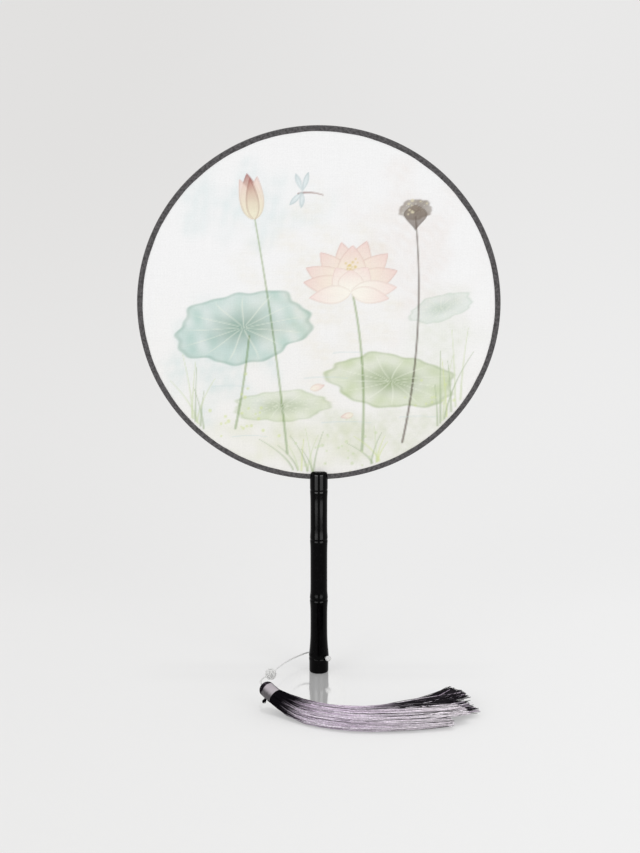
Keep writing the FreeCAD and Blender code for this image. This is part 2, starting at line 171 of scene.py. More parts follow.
def mesh_from(bm, name, sharp_angle=40.0):
    """The finished mesh of a bmesh."""
    mesh = bpy.data.meshes.new(name)
    bm.to_mesh(mesh)
    bm.free()
    return smoothed(mesh, sharp_angle)


def add_piece(name, mesh, body, material, replaces=()):
    """An object that rides on a body, takes a material and stands for the named nodes."""
    piece = linked(name, mesh)
    mesh.materials.append(material)
    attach(piece, body)
    if replaces:
        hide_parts(*replaces)
    return piece


def baked(mesh, kind, **settings):
    """The mesh after a modifier."""
    holder = linked("holder", mesh)
    modifier = holder.modifiers.new(kind, kind)
    for key, value in settings.items():
        setattr(modifier, key, value)
    depsgraph = bpy.context.evaluated_depsgraph_get()
    result = bpy.data.meshes.new_from_object(holder.evaluated_get(depsgraph))
    bpy.data.objects.remove(holder)
    return result


def spline_mesh(name, lines, steps, radius=0.0, sides=4, thin=None):
    """Smooth lines that have the given control points in millimetres, bare or as open tubes."""
    curve = bpy.data.curves.new(name, "CURVE")
    curve.dimensions = "3D"
    curve.bevel_depth = radius
    curve.bevel_resolution = (sides - 4) // 2
    for line in lines:
        spline = curve.splines.new("NURBS")
        spline.points.add(len(line) - 1)
        places = np.ones((len(line), 4), np.float32)
        places[:, :3] = np.array(line) * MM
        spline.points.foreach_set("co", places.ravel())
        if thin is not None:
            spline.points.foreach_set("radius", np.array(thin, np.float32))
        spline.order_u = 3
        spline.use_endpoint_u = True
        spline.resolution_u = steps
    holder = bpy.data.objects.new(name, curve)
    mesh = bpy.data.meshes.new_from_object(holder)
    bpy.data.objects.remove(holder)
    bpy.data.curves.remove(curve)
    return mesh


def tube_mesh(name, lines, radius, sides, steps, thin=None):
    """Closed tubes along smooth lines; thin gives the share of the radius at each control point."""
    tubes = spline_mesh(name, lines, steps, radius, sides, thin)
    bm = bmesh.new()
    bm.from_mesh(tubes)
    bpy.data.meshes.remove(tubes)
    bmesh.ops.holes_fill(bm, edges=bm.edges, sides=sides)
    return mesh_from(bm, name, 80.0)


def smooth_line(points, steps):
    """Points in millimetres along the smooth line that has the given control points."""
    mesh = spline_mesh("route", [points], steps)
    places = points_of(mesh)
    bpy.data.meshes.remove(mesh)
    return places


def points_of(mesh):
    """The points of a mesh in millimetres."""
    places = np.zeros(len(mesh.vertices) * 3, np.float32)
    mesh.vertices.foreach_get("co", places)
    return places.reshape(-1, 3).astype(float) / MM


def store_colours(mesh, name, rgb):
    """A colour for each point of a mesh."""
    rgba = np.ones((len(mesh.vertices), 4), np.float32)
    rgba[:, :3] = rgb
    mesh.color_attributes.new(name, "FLOAT_COLOR", "POINT").data.foreach_set("color", rgba.ravel())


def store_vectors(mesh, name, xyz):
    """A vector for each point of a mesh."""
    values = np.array(xyz, np.float32)
    mesh.attributes.new(name, "FLOAT_VECTOR", "POINT").data.foreach_set("vector", values.ravel())


def smoothstep(low, high, value):
    """A smooth change from nought at low to one at high."""
    share = np.clip((value - low) / (high - low), 0.0, 1.0)
    return share * share * (3.0 - 2.0 * share)


# Shader nodes


def put(tree, kind, inputs=None, **settings):
    """A shader node with its settings, and its inputs linked or set by name or number."""
    node = tree.nodes.new(f"ShaderNode{kind}")
    for key, value in settings.items():
        setattr(node, key, value)
    for key, value in (inputs or {}).items():
        if isinstance(value, bpy.types.NodeSocket):
            tree.links.new(value, node.inputs[key])
        else:
            node.inputs[key].default_value = value
    return node


def calc(tree, operation, *values):
    """The result of a Math node."""
    return put(tree, "Math", dict(enumerate(values)), operation=operation).outputs[0]


def split(tree, place):
    """The three parts of a place."""
    return put(tree, "SeparateXYZ", {0: place}).outputs


def times(tone, share):
    """A colour made darker or lighter."""
    return [share * level for level in tone]


def mixed(tree, share, first, second):
    """Two colours mixed by a share."""
    inputs = {0: share, 6: (*first, 1.0), 7: (*second, 1.0)}
    return put(tree, "Mix", inputs, data_type="RGBA").outputs[2]


def toned(tree, tone, share):
    """A colour from the surface, made darker or lighter by a share."""
    return put(tree, "VectorMath", {0: tone, "Scale": share}, operation="SCALE").outputs[0]


def blended(tree, share, first, second):
    """Two shaders mixed by a share."""
    return put(tree, "MixShader", {0: share, 1: first, 2: second}).outputs[0]


def ramped(tree, value, low, high, start=0.0, end=1.0):
    """A value moved smoothly from one range to another."""
    inputs = {0: value, 1: low, 2: high, 3: start, 4: end}
    return put(tree, "MapRange", inputs, interpolation_type="SMOOTHSTEP").outputs[0]


def noise(tree, place, scale, detail):
    """Even noise at a place."""
    inputs = {"Vector": place, "Scale": scale, "Detail": detail}
    return put(tree, "TexNoise", inputs).outputs["Fac"]


def stretched(tree, place, scale):
    """A place scaled along each way."""
    return put(tree, "Mapping", {"Vector": place, "Scale": scale}).outputs[0]


def streaks(tree, place, rates, detail):
    """Noise drawn out, with its rates along each way."""
    return noise(tree, stretched(tree, place, rates), 1.0, detail)


def attribute(tree, name, output):
    """What is kept on the points of a mesh."""
    return put(tree, "Attribute", attribute_name=name).outputs[output]


def uv_place(tree, name):
    """A piece's own UV map."""
    return put(tree, "UVMap", uv_map=name).outputs[0]


def object_place(tree):
    """Object coordinates in millimetres."""
    return stretched(tree, put(tree, "TexCoord").outputs["Object"], (1.0 / MM,) * 3)


def new_material(name, roughness, specular=0.5):
    """A material with its node tree and its shader."""
    material = bpy.data.materials.new(name)
    material.use_nodes = True
    shader = material.node_tree.nodes["Principled BSDF"]
    shader.inputs["Roughness"].default_value = roughness
    shader.inputs["Specular IOR Level"].default_value = specular
    return material, material.node_tree, shader


def dress(tree, shader, tone, height, depth):
    """Gives a shader its colour, and a bump whose depth is in millimetres."""
    bump = put(tree, "Bump", {"Height": height, "Distance": depth * MM, "Strength": 1.0})
    tree.links.new(tone, shader.inputs["Base Color"])
    tree.links.new(bump.outputs[0], shader.inputs["Normal"])


def new_group(name, inputs):
    """A shader group with a Place, float inputs given by name and default, and outputs Height and Tone."""
    group = bpy.data.node_groups.new(name, "ShaderNodeTree")
    group.interface.new_socket("Place", in_out="INPUT", socket_type="NodeSocketVector")
    for label, default in inputs.items():
        socket = group.interface.new_socket(label, in_out="INPUT", socket_type="NodeSocketFloat")
        socket.default_value = default
    for label in ("Height", "Tone"):
        group.interface.new_socket(label, in_out="OUTPUT", socket_type="NodeSocketFloat")
    return group, group.nodes.new("NodeGroupInput").outputs, group.nodes.new("NodeGroupOutput").inputs


def weave_group():
    """Plain weave on a place in millimetres: the height of its threads and the unevenness of their tone."""
    if "Plain weave" in bpy.data.node_groups:
        return bpy.data.node_groups["Plain weave"]
    tree, given, made = new_group("Plain weave", {"Warp Step": 0.3, "Weft Step": 0.3})
    place = split(tree, given["Place"])
    waves = []
    for way, step in ((0, "Warp Step"), (1, "Weft Step")):
        threads = calc(tree, "DIVIDE", place[way], given[step])
        waves.append(calc(tree, "SINE", calc(tree, "MULTIPLY", threads, math.pi)))
    over = calc(tree, "MULTIPLY", *waves)
    tree.links.new(calc(tree, "MULTIPLY_ADD", over, 0.5, 0.5), made["Height"])
    across = streaks(tree, given["Place"], (2.2, 0.05, 0.05), 2.0)
    along = streaks(tree, given["Place"], (0.05, 2.2, 0.05), 2.0)
    tree.links.new(calc(tree, "MULTIPLY", calc(tree, "ADD", across, along), 0.5), made["Tone"])
    return tree


def twist_group():
    """Twisted fibres on a place that holds millimetres along a strand and turns round it."""
    if "Fibre twist" in bpy.data.node_groups:
        return bpy.data.node_groups["Fibre twist"]
    tree, given, made = new_group("Fibre twist", {"Pitch": 1.0})
    place = split(tree, given["Place"])
    turns = calc(tree, "ADD", calc(tree, "DIVIDE", place[0], given["Pitch"]), place[1])
    wave = calc(tree, "SINE", calc(tree, "MULTIPLY", turns, 2.0 * math.pi))
    tree.links.new(calc(tree, "MULTIPLY_ADD", wave, 0.5, 0.5), made["Height"])
    tree.links.new(streaks(tree, given["Place"], (0.35, 3.0, 1.0), 3.0), made["Tone"])
    return tree


def placed(tree, group, place, **values):
    """A group at a place, with its own values given by name."""
    inputs = {key.replace("_", " "): value for key, value in values.items()}
    return put(tree, "Group", {"Place": place, **inputs}, node_tree=group).outputs


def lacquer_material(looks):
    """Black lacquer with a slight haze, over the faint ripple of the turning."""
    material, tree, shader = new_material("black_lacquer", looks.gloss, 0.05)
    place = object_place(tree)
    haze = noise(tree, place, 0.35, 4.0)
    tone = mixed(tree, ramped(tree, haze, 0.35, 0.75), looks.lacquer, times(looks.lacquer, 2.2))
    rough = ramped(tree, haze, 0.3, 0.8, looks.gloss - 0.03, looks.gloss + 0.05)
    tree.links.new(rough, shader.inputs["Roughness"])
    dress(tree, shader, tone, streaks(tree, place, (0.5, 0.5, 0.06), 2.0), 0.02)
    return material


def bamboo_material(looks):
    """Split bamboo with its long grain."""
    material, tree, shader = new_material("split_bamboo", 0.5)
    grain = streaks(tree, object_place(tree), (0.4, 3.0, 0.4), 4.0)
    dress(tree, shader, mixed(tree, grain, looks.bamboo, times(looks.bamboo, 0.6)), grain, 0.05)
    return material


def silk_material(name):
    """Painted silk: the painting's colour with the weave's threads and the paint's grain."""
    material, tree, shader = new_material(name, 0.8, 0.12)
    shader.inputs["Sheen Weight"].default_value = 0.15
    shader.inputs["Sheen Roughness"].default_value = 0.4
    upright = split(tree, object_place(tree))
    place = put(tree, "CombineXYZ", {0: upright[0], 1: upright[2]}).outputs[0]
    weave = placed(tree, weave_group(), place, Warp_Step=0.22, Weft_Step=0.25)
    grain = ramped(tree, noise(tree, place, 0.9, 4.0), 0.25, 0.75, 0.965, 1.015)
    threads = ramped(tree, weave["Tone"], 0.3, 0.7, 0.975, 1.015)
    tone = toned(tree, attribute(tree, "painting", "Color"), calc(tree, "MULTIPLY", grain, threads))
    dress(tree, shader, tone, weave["Height"], 0.04)
    return material


def tape_material(looks):
    """Dark woven tape, lighter in patches of wear, and painted darker in the hollows of its weave as painted
    shade.
    """
    material, tree, shader = new_material("woven_tape", 0.85, 0.2)
    shader.inputs["Sheen Weight"].default_value = 0.2
    place = uv_place(tree, "tape")
    weave = placed(tree, weave_group(), place, Warp_Step=0.6, Weft_Step=0.5)
    patches = ramped(tree, streaks(tree, place, (0.55, 0.6, 1.0), 3.0), 0.3, 0.7)
    # Painted shade: the weave's hollows are darker, beside the lighter patches of wear.
    light = calc(tree, "MULTIPLY_ADD", weave["Height"], 0.35, calc(tree, "MULTIPLY", patches, 0.65))
    tone = mixed(tree, light, times(looks.tape, 0.4), times(looks.tape, 1.75))
    dress(tree, shader, tone, weave["Height"], 0.12)
    return material


def cord_material(name, cord):
    """Cord whose colour is painted darker in the grooves of its twist as painted shade, and uneven along its
    fibres.
    """
    material, tree, shader = new_material(name, 0.65, 0.1)
    twist = placed(tree, twist_group(), attribute(tree, "fibre", "Vector"), Pitch=1.1)
    # Painted shade: half from the twist's grooves, half from the fibres' own uneven tone, down to 0.62 of the
    # cord's colour.
    shade = calc(tree, "MULTIPLY_ADD", twist["Height"], 0.5, calc(tree, "MULTIPLY", twist["Tone"], 0.5))
    dress(tree, shader, mixed(tree, shade, times(cord, 0.62), cord), twist["Height"], 0.05)
    return material


def thread_material(name, gloss, shine):
    """Floss thread whose colour is kept on its points, with small patches of painted highlight and shade from
    the shine of its twist.
    """
    material, tree, shader = new_material(name, gloss, shine)
    twist = placed(tree, twist_group(), attribute(tree, "fibre", "Vector"), Pitch=1.6)
    # Painted highlight: small patches of the colour are made lighter or darker, standing in for the shine of
    # the twisted floss.
    painted_glints = ramped(tree, noise(tree, object_place(tree), 0.85, 1.0), 0.35, 0.65, 0.84, 1.12)
    uneven = calc(tree, "MULTIPLY", ramped(tree, twist["Tone"], 0.3, 0.7, 0.72, 1.18), painted_glints)
    dress(tree, shader, toned(tree, attribute(tree, "thread_colour", "Color"), uneven), twist["Height"], 0.03)
    return material


def satin_material(looks):
    """Silver satin, creased, with a painted sheen: its colour is painted bright twice in each turn round the
    neck and dark between, and varied along its creases as painted shade.
    """
    material, tree, shader = new_material("silver_satin", 0.42, 0.3)
    shader.inputs["Anisotropic"].default_value = 0.5
    place = uv_place(tree, "ribbon")
    weave = placed(tree, weave_group(), place, Warp_Step=0.25, Weft_Step=0.16)
    # Painted shade and sheen: the crease noise and a swing round the neck darken and brighten the colour,
    # standing in for light on the satin.
    creases_with_painted_shade = streaks(tree, place, (0.35, 0.9, 1.0), 3.0)
    from_painted_sheen = calc(tree, "SUBTRACT", split(tree, place)[0], RIBBON_PAINTED_SHEEN)
    painted_sheen_swing = calc(tree, "COSINE", calc(tree, "DIVIDE", from_painted_sheen, 0.5 * RIBBON_MEAN))
    sheen = ramped(tree, painted_sheen_swing, -0.5, 0.9)
    share = calc(tree, "MULTIPLY_ADD", calc(tree, "SUBTRACT", creases_with_painted_shade, 0.5), 0.5, sheen)
    height = calc(tree, "MULTIPLY_ADD", creases_with_painted_shade, 6.0, weave["Height"])
    dress(tree, shader, mixed(tree, share, times(looks.satin, 0.2), looks.satin), height, 0.04)
    return material


# Handle

WAIST = 5.95
# The turned foot and the rounded top, as radius and height.
FOOT_END = [
    (0.0, 0.0), (3.0, 0.0), (5.7, 0.0), (6.35, 0.12), (6.72, 0.5), (6.8, 1.1), (6.8, 4.2), (6.8, 6.6),
    (6.86, 8.4),
]
TOP_END = [
    (6.25, 137.5), (6.25, 141.5), (6.25, 144.6), (6.18, 145.9), (5.75, 147.1), (5.0, 147.75), (4.0, 148.0),
    (2.0, 148.0), (0.0, 148.0),
]
# The joints' heights and radii, and the lip of each as steps in radius at distances from its groove.
JOINTS = [(11.0, 7.05), (54.0, 6.4), (98.2, 6.25), (134.4, 6.25)]
LIP = [(-0.02, 1.5), (0.0, 1.1), (-0.04, 0.8), (-0.15, 0.42), (-0.19, 0.12)]
# The swelling towards a joint, as shares at distances under it and over it, and over the one at the foot.
SWELL_UNDER = ((0.0, 9.6), (0.22, 5.6), (0.72, 2.6))
SWELL_OVER = ((0.77, 2.6), (0.4, 4.2), (0.13, 5.6), (0.0, 9.6))
SWELL_OVER_FOOT = ((0.77, 4.0), (0.4, 8.5), (0.13, 13.5), (0.0, 19.0))
FOOT_GROOVE = 0.9
SLOT_MIDDLE = 147.1
SLOT_SIZE = (20.0, 3.0, 10.0)
HOLE_RADIUS = 1.0


def handle_profile():
    """Radius and height in millimetres from the foot up to the top, round the lips of each joint."""
    profile = FOOT_END.copy()
    for height, radius in JOINTS:
        swell = radius - WAIST
        at_foot = (height, radius) == JOINTS[0]
        if not at_foot:
            profile += [(WAIST + share * swell, height - drop) for share, drop in SWELL_UNDER]
        groove = FOOT_GROOVE if at_foot else 1.0
        profile += [(radius + groove * step, height - away) for step, away in LIP]
        profile += [(radius + groove * step, height + away) for step, away in reversed(LIP)]
        if (height, radius) != JOINTS[-1]:
            over = SWELL_OVER_FOOT if at_foot else SWELL_OVER
            profile += [(WAIST + share * swell, height + rise) for share, rise in over]
    return profile + TOP_END


def turned_mesh(name, profile, steps):
    """A closed turning about the Z axis from radius and height pairs."""
    bm = bmesh.new()
    verts = [bm.verts.new((radius * MM, 0.0, height * MM)) for radius, height in profile]
    edges = [bm.edges.new(pair) for pair in zip(verts, verts[1:])]
    bmesh.ops.spin(
        bm, geom=verts + edges, cent=(0, 0, 0), axis=(0, 0, 1), angle=2 * math.pi, steps=steps, use_merge=True
    )
    bmesh.ops.remove_doubles(bm, verts=bm.verts, dist=0.002 * MM)
    bmesh.ops.recalc_face_normals(bm, faces=bm.faces)
    return mesh_from(bm, name, 180.0)


def handle_cutter():
    """The slot for the rim and the cross hole for the cord."""
    bm = bmesh.new()
    slot = Matrix.Translation((0, 0, SLOT_MIDDLE * MM)) @ Matrix.Diagonal((*times(SLOT_SIZE, MM), 1.0))
    bmesh.ops.create_cube(bm, size=1.0, matrix=slot)
    turn = HOLE_WAY.to_track_quat("Z", "Y").to_matrix().to_4x4()
    bmesh.ops.create_cone(
        bm, cap_ends=True, segments=32, radius1=HOLE_RADIUS * MM, radius2=HOLE_RADIUS * MM, depth=20 * MM,
        matrix=Matrix.Translation((0, 0, HOLE_HEIGHT * MM)) @ turn,
    )
    return mesh_from(bm, "handle_cutter")


class FAN_OT_handle(Operator):
    """Turns the lacquered handle with its joints, its slot for the rim and its hole for the cord"""

    bl_idname = "round_fan.handle"
    bl_label = "Handle"

    def execute(self, context):
        looks = context.scene.round_fan.handle
        turned = turned_mesh("handle_turning", handle_profile(), looks.turns)
        smooth = baked(turned, "SUBSURF", levels=2, render_levels=2)
        cutter = linked("handle_cutter", handle_cutter())
        cut = baked(smooth, "BOOLEAN", object=cutter, operation="DIFFERENCE", solver="EXACT")
        bpy.data.objects.remove(cutter)
        mesh = smoothed(cut, 35.0)
        handle = add_piece("lacquered_handle", mesh, "fan", lacquer_material(looks), ("handle",))
        strip_receivers().objects.link(handle)
        return {"FINISHED"}


# Rim

RIM_RADIUS = 125.0
TAPE_DEPTH = 1.4
# Half of the tape's section as depth and radius, from the hoop round its inner edge and out to the fold.
TAPE_HALF = [
    (1.0, 124.55), (1.0, 121.2), (1.25, 121.18), (1.38, 121.4), (TAPE_DEPTH, 122.2), (TAPE_DEPTH, 123.6),
    (1.32, 124.45), (0.95, 124.9), (0.3, RIM_RADIUS),
]
# The tape's ends meet inside the handle, this far from its middle.
TAPE_END = 2.6
TAPE_STEPS = 300


class FAN_OT_rim(Operator):
    """Folds the woven tape over the rim and gives the hoop inside its bamboo"""

    bl_idname = "round_fan.rim"
    bl_label = "Rim tape and hoop"

    def execute(self, context):
        looks = context.scene.round_fan.leaf
        section = TAPE_HALF + [(-depth, radius) for depth, radius in reversed(TAPE_HALF)]
        start = math.asin(TAPE_END / (RIM_RADIUS - 0.4))
        bm = bmesh.new()
        verts = [bm.verts.new((0.0, depth * MM, -radius * MM)) for depth, radius in section]
        face = bm.faces.new(verts)
        bmesh.ops.rotate(bm, cent=(0, 0, 0), matrix=Matrix.Rotation(start, 3, "Y"), verts=bm.verts)
        bmesh.ops.spin(
            bm, geom=verts + list(face.edges) + [face], cent=(0, 0, 0), axis=(0, 1, 0),
            angle=2 * math.pi - 2 * start, steps=TAPE_STEPS,
        )
        bmesh.ops.recalc_face_normals(bm, faces=bm.faces)
        self.wave_edge(bm)
        self.lay_out(bm)
        bmesh.ops.translate(bm, vec=(0, 0, LEAF_HEIGHT * MM), verts=bm.verts)
        mesh = mesh_from(bm, "rim_tape", 50.0)
        add_piece("rim_tape", mesh, "fan", tape_material(looks), ("edge_binding",))
        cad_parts["hoop"].data.materials.clear()
        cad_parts["hoop"].data.materials.append(bamboo_material(looks))
        return {"FINISHED"}

    @staticmethod
    def wave_edge(bm):
        """The tape's inner edges aren't quite even."""
        for vert in bm.verts:
            radius = math.hypot(vert.co.x, vert.co.z)
            if radius < 121.9 * MM and abs(vert.co.y) > 1.1 * MM:
                turn = math.atan2(vert.co.x, vert.co.z)
                side = 1.0 if vert.co.y > 0 else 2.0
                wave = math.sin(23 * turn + side) + 0.7 * math.sin(41 * turn + 2 * side)
                step = 0.09 * wave * MM
                vert.co.x += step * math.sin(turn)
                vert.co.z += step * math.cos(turn)

    @staticmethod
    def lay_out(bm):
        """The tape's own coordinates, in millimetres along the rim and over the fold."""
        layer = bm.loops.layers.uv.new("tape")
        for face in bm.faces:
            for loop in face.loops:
                place = loop.vert.co / MM
                radius = math.hypot(place.x, place.z)
                along = math.atan2(place.x, -place.z) * (RIM_RADIUS - 2.0)
                over = (place.y / TAPE_DEPTH) * (RIM_RADIUS - radius + TAPE_DEPTH)
                loop[layer].uv = (along, over)


# Painting


def wander(x, z, size, seed):
    """A smooth uneven field between about -1 and 1 whose patches are about the given size."""
    random = np.random.default_rng(seed)
    field = np.zeros_like(x)
    for _ in range(7):
        turn = random.uniform(0.0, 2 * math.pi)
        rate = 2 * math.pi / (size * random.uniform(0.7, 1.9))
        field += np.sin(rate * (x * math.cos(turn) + z * math.sin(turn)) + random.uniform(0.0, 2 * math.pi))
    return field / 3.5


class Watercolour:
    """Paint on points of the leaf, given in millimetres from its middle."""

    def __init__(self, x, z, ground):
        self.x = x
        self.z = z
        self.tone = ground.copy()

    def near(self, middle, reach):
        """The points within reach of a place, and their offsets from it."""
        x = self.x - middle[0]
        z = self.z - middle[1]
        near = np.nonzero((np.abs(x) < reach) & (np.abs(z) < reach))[0]
        return near, x[near], z[near]

    def glaze(self, near, share, tint):
        """Transparent paint."""
        self.tone[near] *= 1.0 - share[:, None] * (1.0 - np.array(tint))

    def cover(self, near, share, tint):
        """Paint with body."""
        self.tone[near] += share[:, None] * (np.array(tint) - self.tone[near])

    def blot(self, middle, width, height, tint, strength, seed):
        """A soft uneven wash."""
        near, x, z = self.near(middle, 1.6 * max(width, height))
        far = np.hypot(x / width, z / height) + 0.35 * wander(self.x[near], self.z[near], 26.0, seed)
        share = smoothstep(1.15, 0.15, far) * strength
        self.glaze(near, share * (0.85 + 0.3 * wander(self.x[near], self.z[near], 7.0, seed + 50)), tint)

    def pad(self, middle, width, height, turn, rim, heart, seed, strength):
        """A round water leaf seen at a slant, with veins from its middle to a wavy rim."""
        near, x, z = self.near(middle, 1.25 * max(width, height))
        u = (x * math.cos(turn) + z * math.sin(turn)) / width
        v = (-x * math.sin(turn) + z * math.cos(turn)) / height
        angle = np.arctan2(v, u)
        reach = 1.0 + 0.05 * np.sin(5 * angle + seed) + 0.035 * np.sin(9 * angle + 2 * seed)
        far = np.hypot(u, v) / (reach + 0.02 * np.sin(17 * angle))
        inside = smoothstep(1.0 + 0.7 / height, 1.0 - 0.7 / height, far)
        blotch = 0.5 + 0.5 * wander(self.x[near], self.z[near], 14.0, seed)
        fill = inside * strength * (0.55 + 0.45 * blotch) * (0.75 + 0.25 * smoothstep(0.2, 1.0, far))
        self.glaze(near, fill, rim)
        self.glaze(near, inside * strength * smoothstep(0.75, 0.0, far), heart)
        self.glaze(near, 0.35 * inside * smoothstep(0.9, 0.99, far), heart)
        veins = np.abs(np.sin(6.5 * angle + 0.4 * np.sin(3 * far + seed)))
        vein = inside * smoothstep(0.13 / np.maximum(far, 0.12), 0.0, veins) * smoothstep(0.98, 0.7, far)
        self.cover(near, 0.45 * vein, (0.88, 0.9, 0.8))

    def petal(self, base, tip, width, root, end, strength, belly=0.8):
        """A pointed petal from its base to its tip, with a fine dark edge and faint lines."""
        base = np.array(base, float)
        tip = np.array(tip, float)
        long = float(np.hypot(*(tip - base)))
        way = (tip - base) / long
        near, _, _ = self.near((base + tip) / 2, 0.6 * long + 0.6 * width)
        x = self.x[near] - base[0]
        z = self.z[near] - base[1]
        along = (x * way[0] + z * way[1]) / long
        side = -x * way[1] + z * way[0]
        held = np.clip(along, 0.0, 1.0)
        off = np.abs(side) - 0.5 * width * np.sin(math.pi * held**belly) ** 0.85
        inside = smoothstep(0.45, -0.45, off) * (along > 0.0) * (along < 1.0)
        blend = held[:, None] ** 1.7
        fill = np.array(root) * (1 - blend) + np.array(end) * blend
        lines = 0.06 * np.sin(9.0 * side / max(width, 1.0) * 2.2) ** 8
        self.cover(near, inside * strength, fill)
        self.glaze(near, inside * lines, end)
        self.glaze(near, 0.4 * inside * smoothstep(-1.3, -0.2, off), np.array(end) * 0.8)

    def stroke(self, points, start, end, tint, strength):
        """A brush line through three points whose width changes from start to end."""
        a, b, c = (np.array(p, float) for p in points)
        middle = (a + c) / 2
        reach = 0.5 * float(np.abs(c - a).max()) + float(np.abs(b - middle).max()) + 3.0
        near, _, _ = self.near(middle, reach)
        x = self.x[near]
        z = self.z[near]
        share = np.zeros(len(near))
        steps = np.linspace(0.0, 1.0, 25)
        line = [(1 - t) ** 2 * a + 2 * t * (1 - t) * b + t * t * c for t in steps]
        for t, p, q in zip(steps, line, line[1:]):
            run = q - p
            held = np.clip(((x - p[0]) * run[0] + (z - p[1]) * run[1]) / float(run @ run), 0.0, 1.0)
            off = np.hypot(x - p[0] - held * run[0], z - p[1] - held * run[1])
            half = 0.5 * (start + (end - start) * t)
            share = np.maximum(share, smoothstep(half + 0.35, max(half - 0.35, 0.0), off))
        self.cover(near, share * strength, tint)

    def dots(self, middle, spread, count, size, tint, strength, seed):
        """Small round touches scattered about a place."""
        random = np.random.default_rng(seed)
        for _ in range(count):
            place = np.array(middle) + random.normal(0.0, 1.0, 2) * spread
            radius = size * random.uniform(0.6, 1.3)
            near, x, z = self.near(place, radius + 1.5)
            self.cover(near, smoothstep(radius + 0.4, radius - 0.4, np.hypot(x, z)) * strength, tint)


# Paints
AQUA = (0.66, 0.82, 0.82)
SAGE = (0.62, 0.7, 0.46)
MOSS = (0.38, 0.47, 0.28)
CREAM = (0.93, 0.88, 0.76)
IVORY = (0.95, 0.92, 0.84)
BLUSH = (0.86, 0.66, 0.62)
SHELL = (0.9, 0.74, 0.7)
ROSE = (0.46, 0.16, 0.15)
UMBER = (0.14, 0.105, 0.085)
HUSK = (0.3, 0.25, 0.2)
LIME = (0.66, 0.74, 0.32)
MIST = (0.6, 0.7, 0.7)


def paint_pond(x, z, ground):
    """A pond in watercolour: water leaves, an open bloom, a bud, a seed head, reeds and a dragonfly."""
    paint = Watercolour(x, z, ground)
    paint_water(paint)
    paint_bloom(paint, np.array((22.0, 12.0)))
    paint_bud_and_seeds(paint)
    paint_reeds(paint)
    paint_surface(paint)
    paint_dragonfly(paint, (-11, 79.5))
    return np.clip(paint.tone, 0.0, 1.0)


def paint_water(paint):
    """Washes, the stems and the water leaves over them."""
    for middle, width, height, tint, strength, seed in (
        ((-52, 70), 58, 30, AQUA, 0.28, 1),
        ((40, -92), 80, 26, SAGE, 0.3, 2),
        ((-70, -40), 46, 44, AQUA, 0.36, 3),
        ((62, 40), 46, 60, (0.93, 0.86, 0.82), 0.45, 4),
        ((-20, -96), 70, 22, LIME, 0.2, 5),
        ((4, 10), 60, 70, IVORY, 0.5, 6),
        ((84, -26), 30, 40, SAGE, 0.2, 7),
    ):
        paint.blot(middle, width, height, tint, strength, seed)
    for points, wide, narrow, tint in (
        (((30, -104), (34, -40), (22, 14)), 2.0, 1.4, MOSS),
        (((-22, -106), (-30, -20), (-44, 62)), 1.7, 1.0, MOSS),
        (((58, -98), (74, -20), (66, 62)), 1.6, 1.0, UMBER),
        (((-58, -88), (-52, -60), (-48, -22)), 1.8, 1.4, MOSS),
    ):
        paint.stroke(points, wide, narrow, tint, 0.75)
    paint.pad((-52, -16), 47, 25, 0.16, (0.55, 0.74, 0.68), (0.36, 0.5, 0.42), 3, 0.8)
    paint.pad((50, -54), 44, 19, -0.1, (0.66, 0.76, 0.5), (0.4, 0.5, 0.3), 5, 0.8)
    paint.pad((-26, -72), 33, 11, 0.05, (0.7, 0.8, 0.56), (0.46, 0.56, 0.36), 8, 0.65)
    paint.pad((84, -2), 22, 9, 0.3, (0.72, 0.83, 0.76), (0.5, 0.62, 0.5), 11, 0.55)


def paint_bloom(paint, heart):
    """An open bloom: the rear petals, the stamens, then the petals at the sides and in front."""
    for turn, long, width in (
        (100, 38, 17), (74, 40, 18), (126, 36, 17), (48, 38, 18), (152, 35, 17), (88, 35, 20), (24, 35, 17),
        (172, 33, 15),
    ):
        paint.petal(heart, petal_tip(heart, turn, long, 0.86), width, CREAM, BLUSH, 0.9)
    paint.dots(heart + (0, 13), 3.4, 26, 0.9, (0.75, 0.6, 0.24), 0.7, 21)
    front = heart + (0, -3)
    for turn, long, width in (
        (62, 25, 19), (116, 24, 18), (90, 20, 18), (8, 32, 14), (-12, 27, 12), (190, 29, 13),
    ):
        paint.petal(front, petal_tip(front, turn, long, 0.8), width, IVORY, SHELL, 0.92)


def petal_tip(base, turn, long, slant):
    """The tip of a petal of a bloom that is seen at a slant."""
    angle = math.radians(turn)
    return base + long * np.array((math.cos(angle), slant * math.sin(angle)))


def paint_bud_and_seeds(paint):
    """A closed bud and a dry seed head."""
    for tip, width, end in (
        ((-49, 92), 15, ROSE), ((-42, 90), 12, BLUSH), ((-54, 88), 11, BLUSH), ((-47, 89), 9, ROSE),
    ):
        paint.petal((-44, 60), tip, width, (0.88, 0.84, 0.66), end, 0.85, 0.7)
    paint.pad((66, 67), 11, 7, 0.1, HUSK, (0.3, 0.22, 0.18), 4, 0.9)
    paint.petal((66, 52), (66, 70), 16, UMBER, HUSK, 0.75, 1.6)
    paint.dots((66, 68), 3.6, 9, 0.9, (0.72, 0.66, 0.48), 0.8, 22)


def paint_reeds(paint):
    """Tufts of reeds and grass that grow from the rim."""
    random = np.random.default_rng(31)
    for root, count, tall in ((-86, 7, 40), (-8, 9, 26), (88, 8, 46), (40, 6, 22)):
        for _ in range(count):
            foot = root + random.normal(0.0, 5.0)
            low = -math.sqrt(max(119.0**2 - foot**2, 0.0))
            lean = random.normal(0.0, 11.0)
            high = low + tall * random.uniform(0.6, 1.2)
            tint = (SAGE, MOSS, LIME)[int(random.integers(3))]
            blade = ((foot, low), (foot + 0.2 * lean, 0.5 * (low + high)), (foot + lean, high))
            paint.stroke(blade, 1.5, 0.2, tint, 0.6)


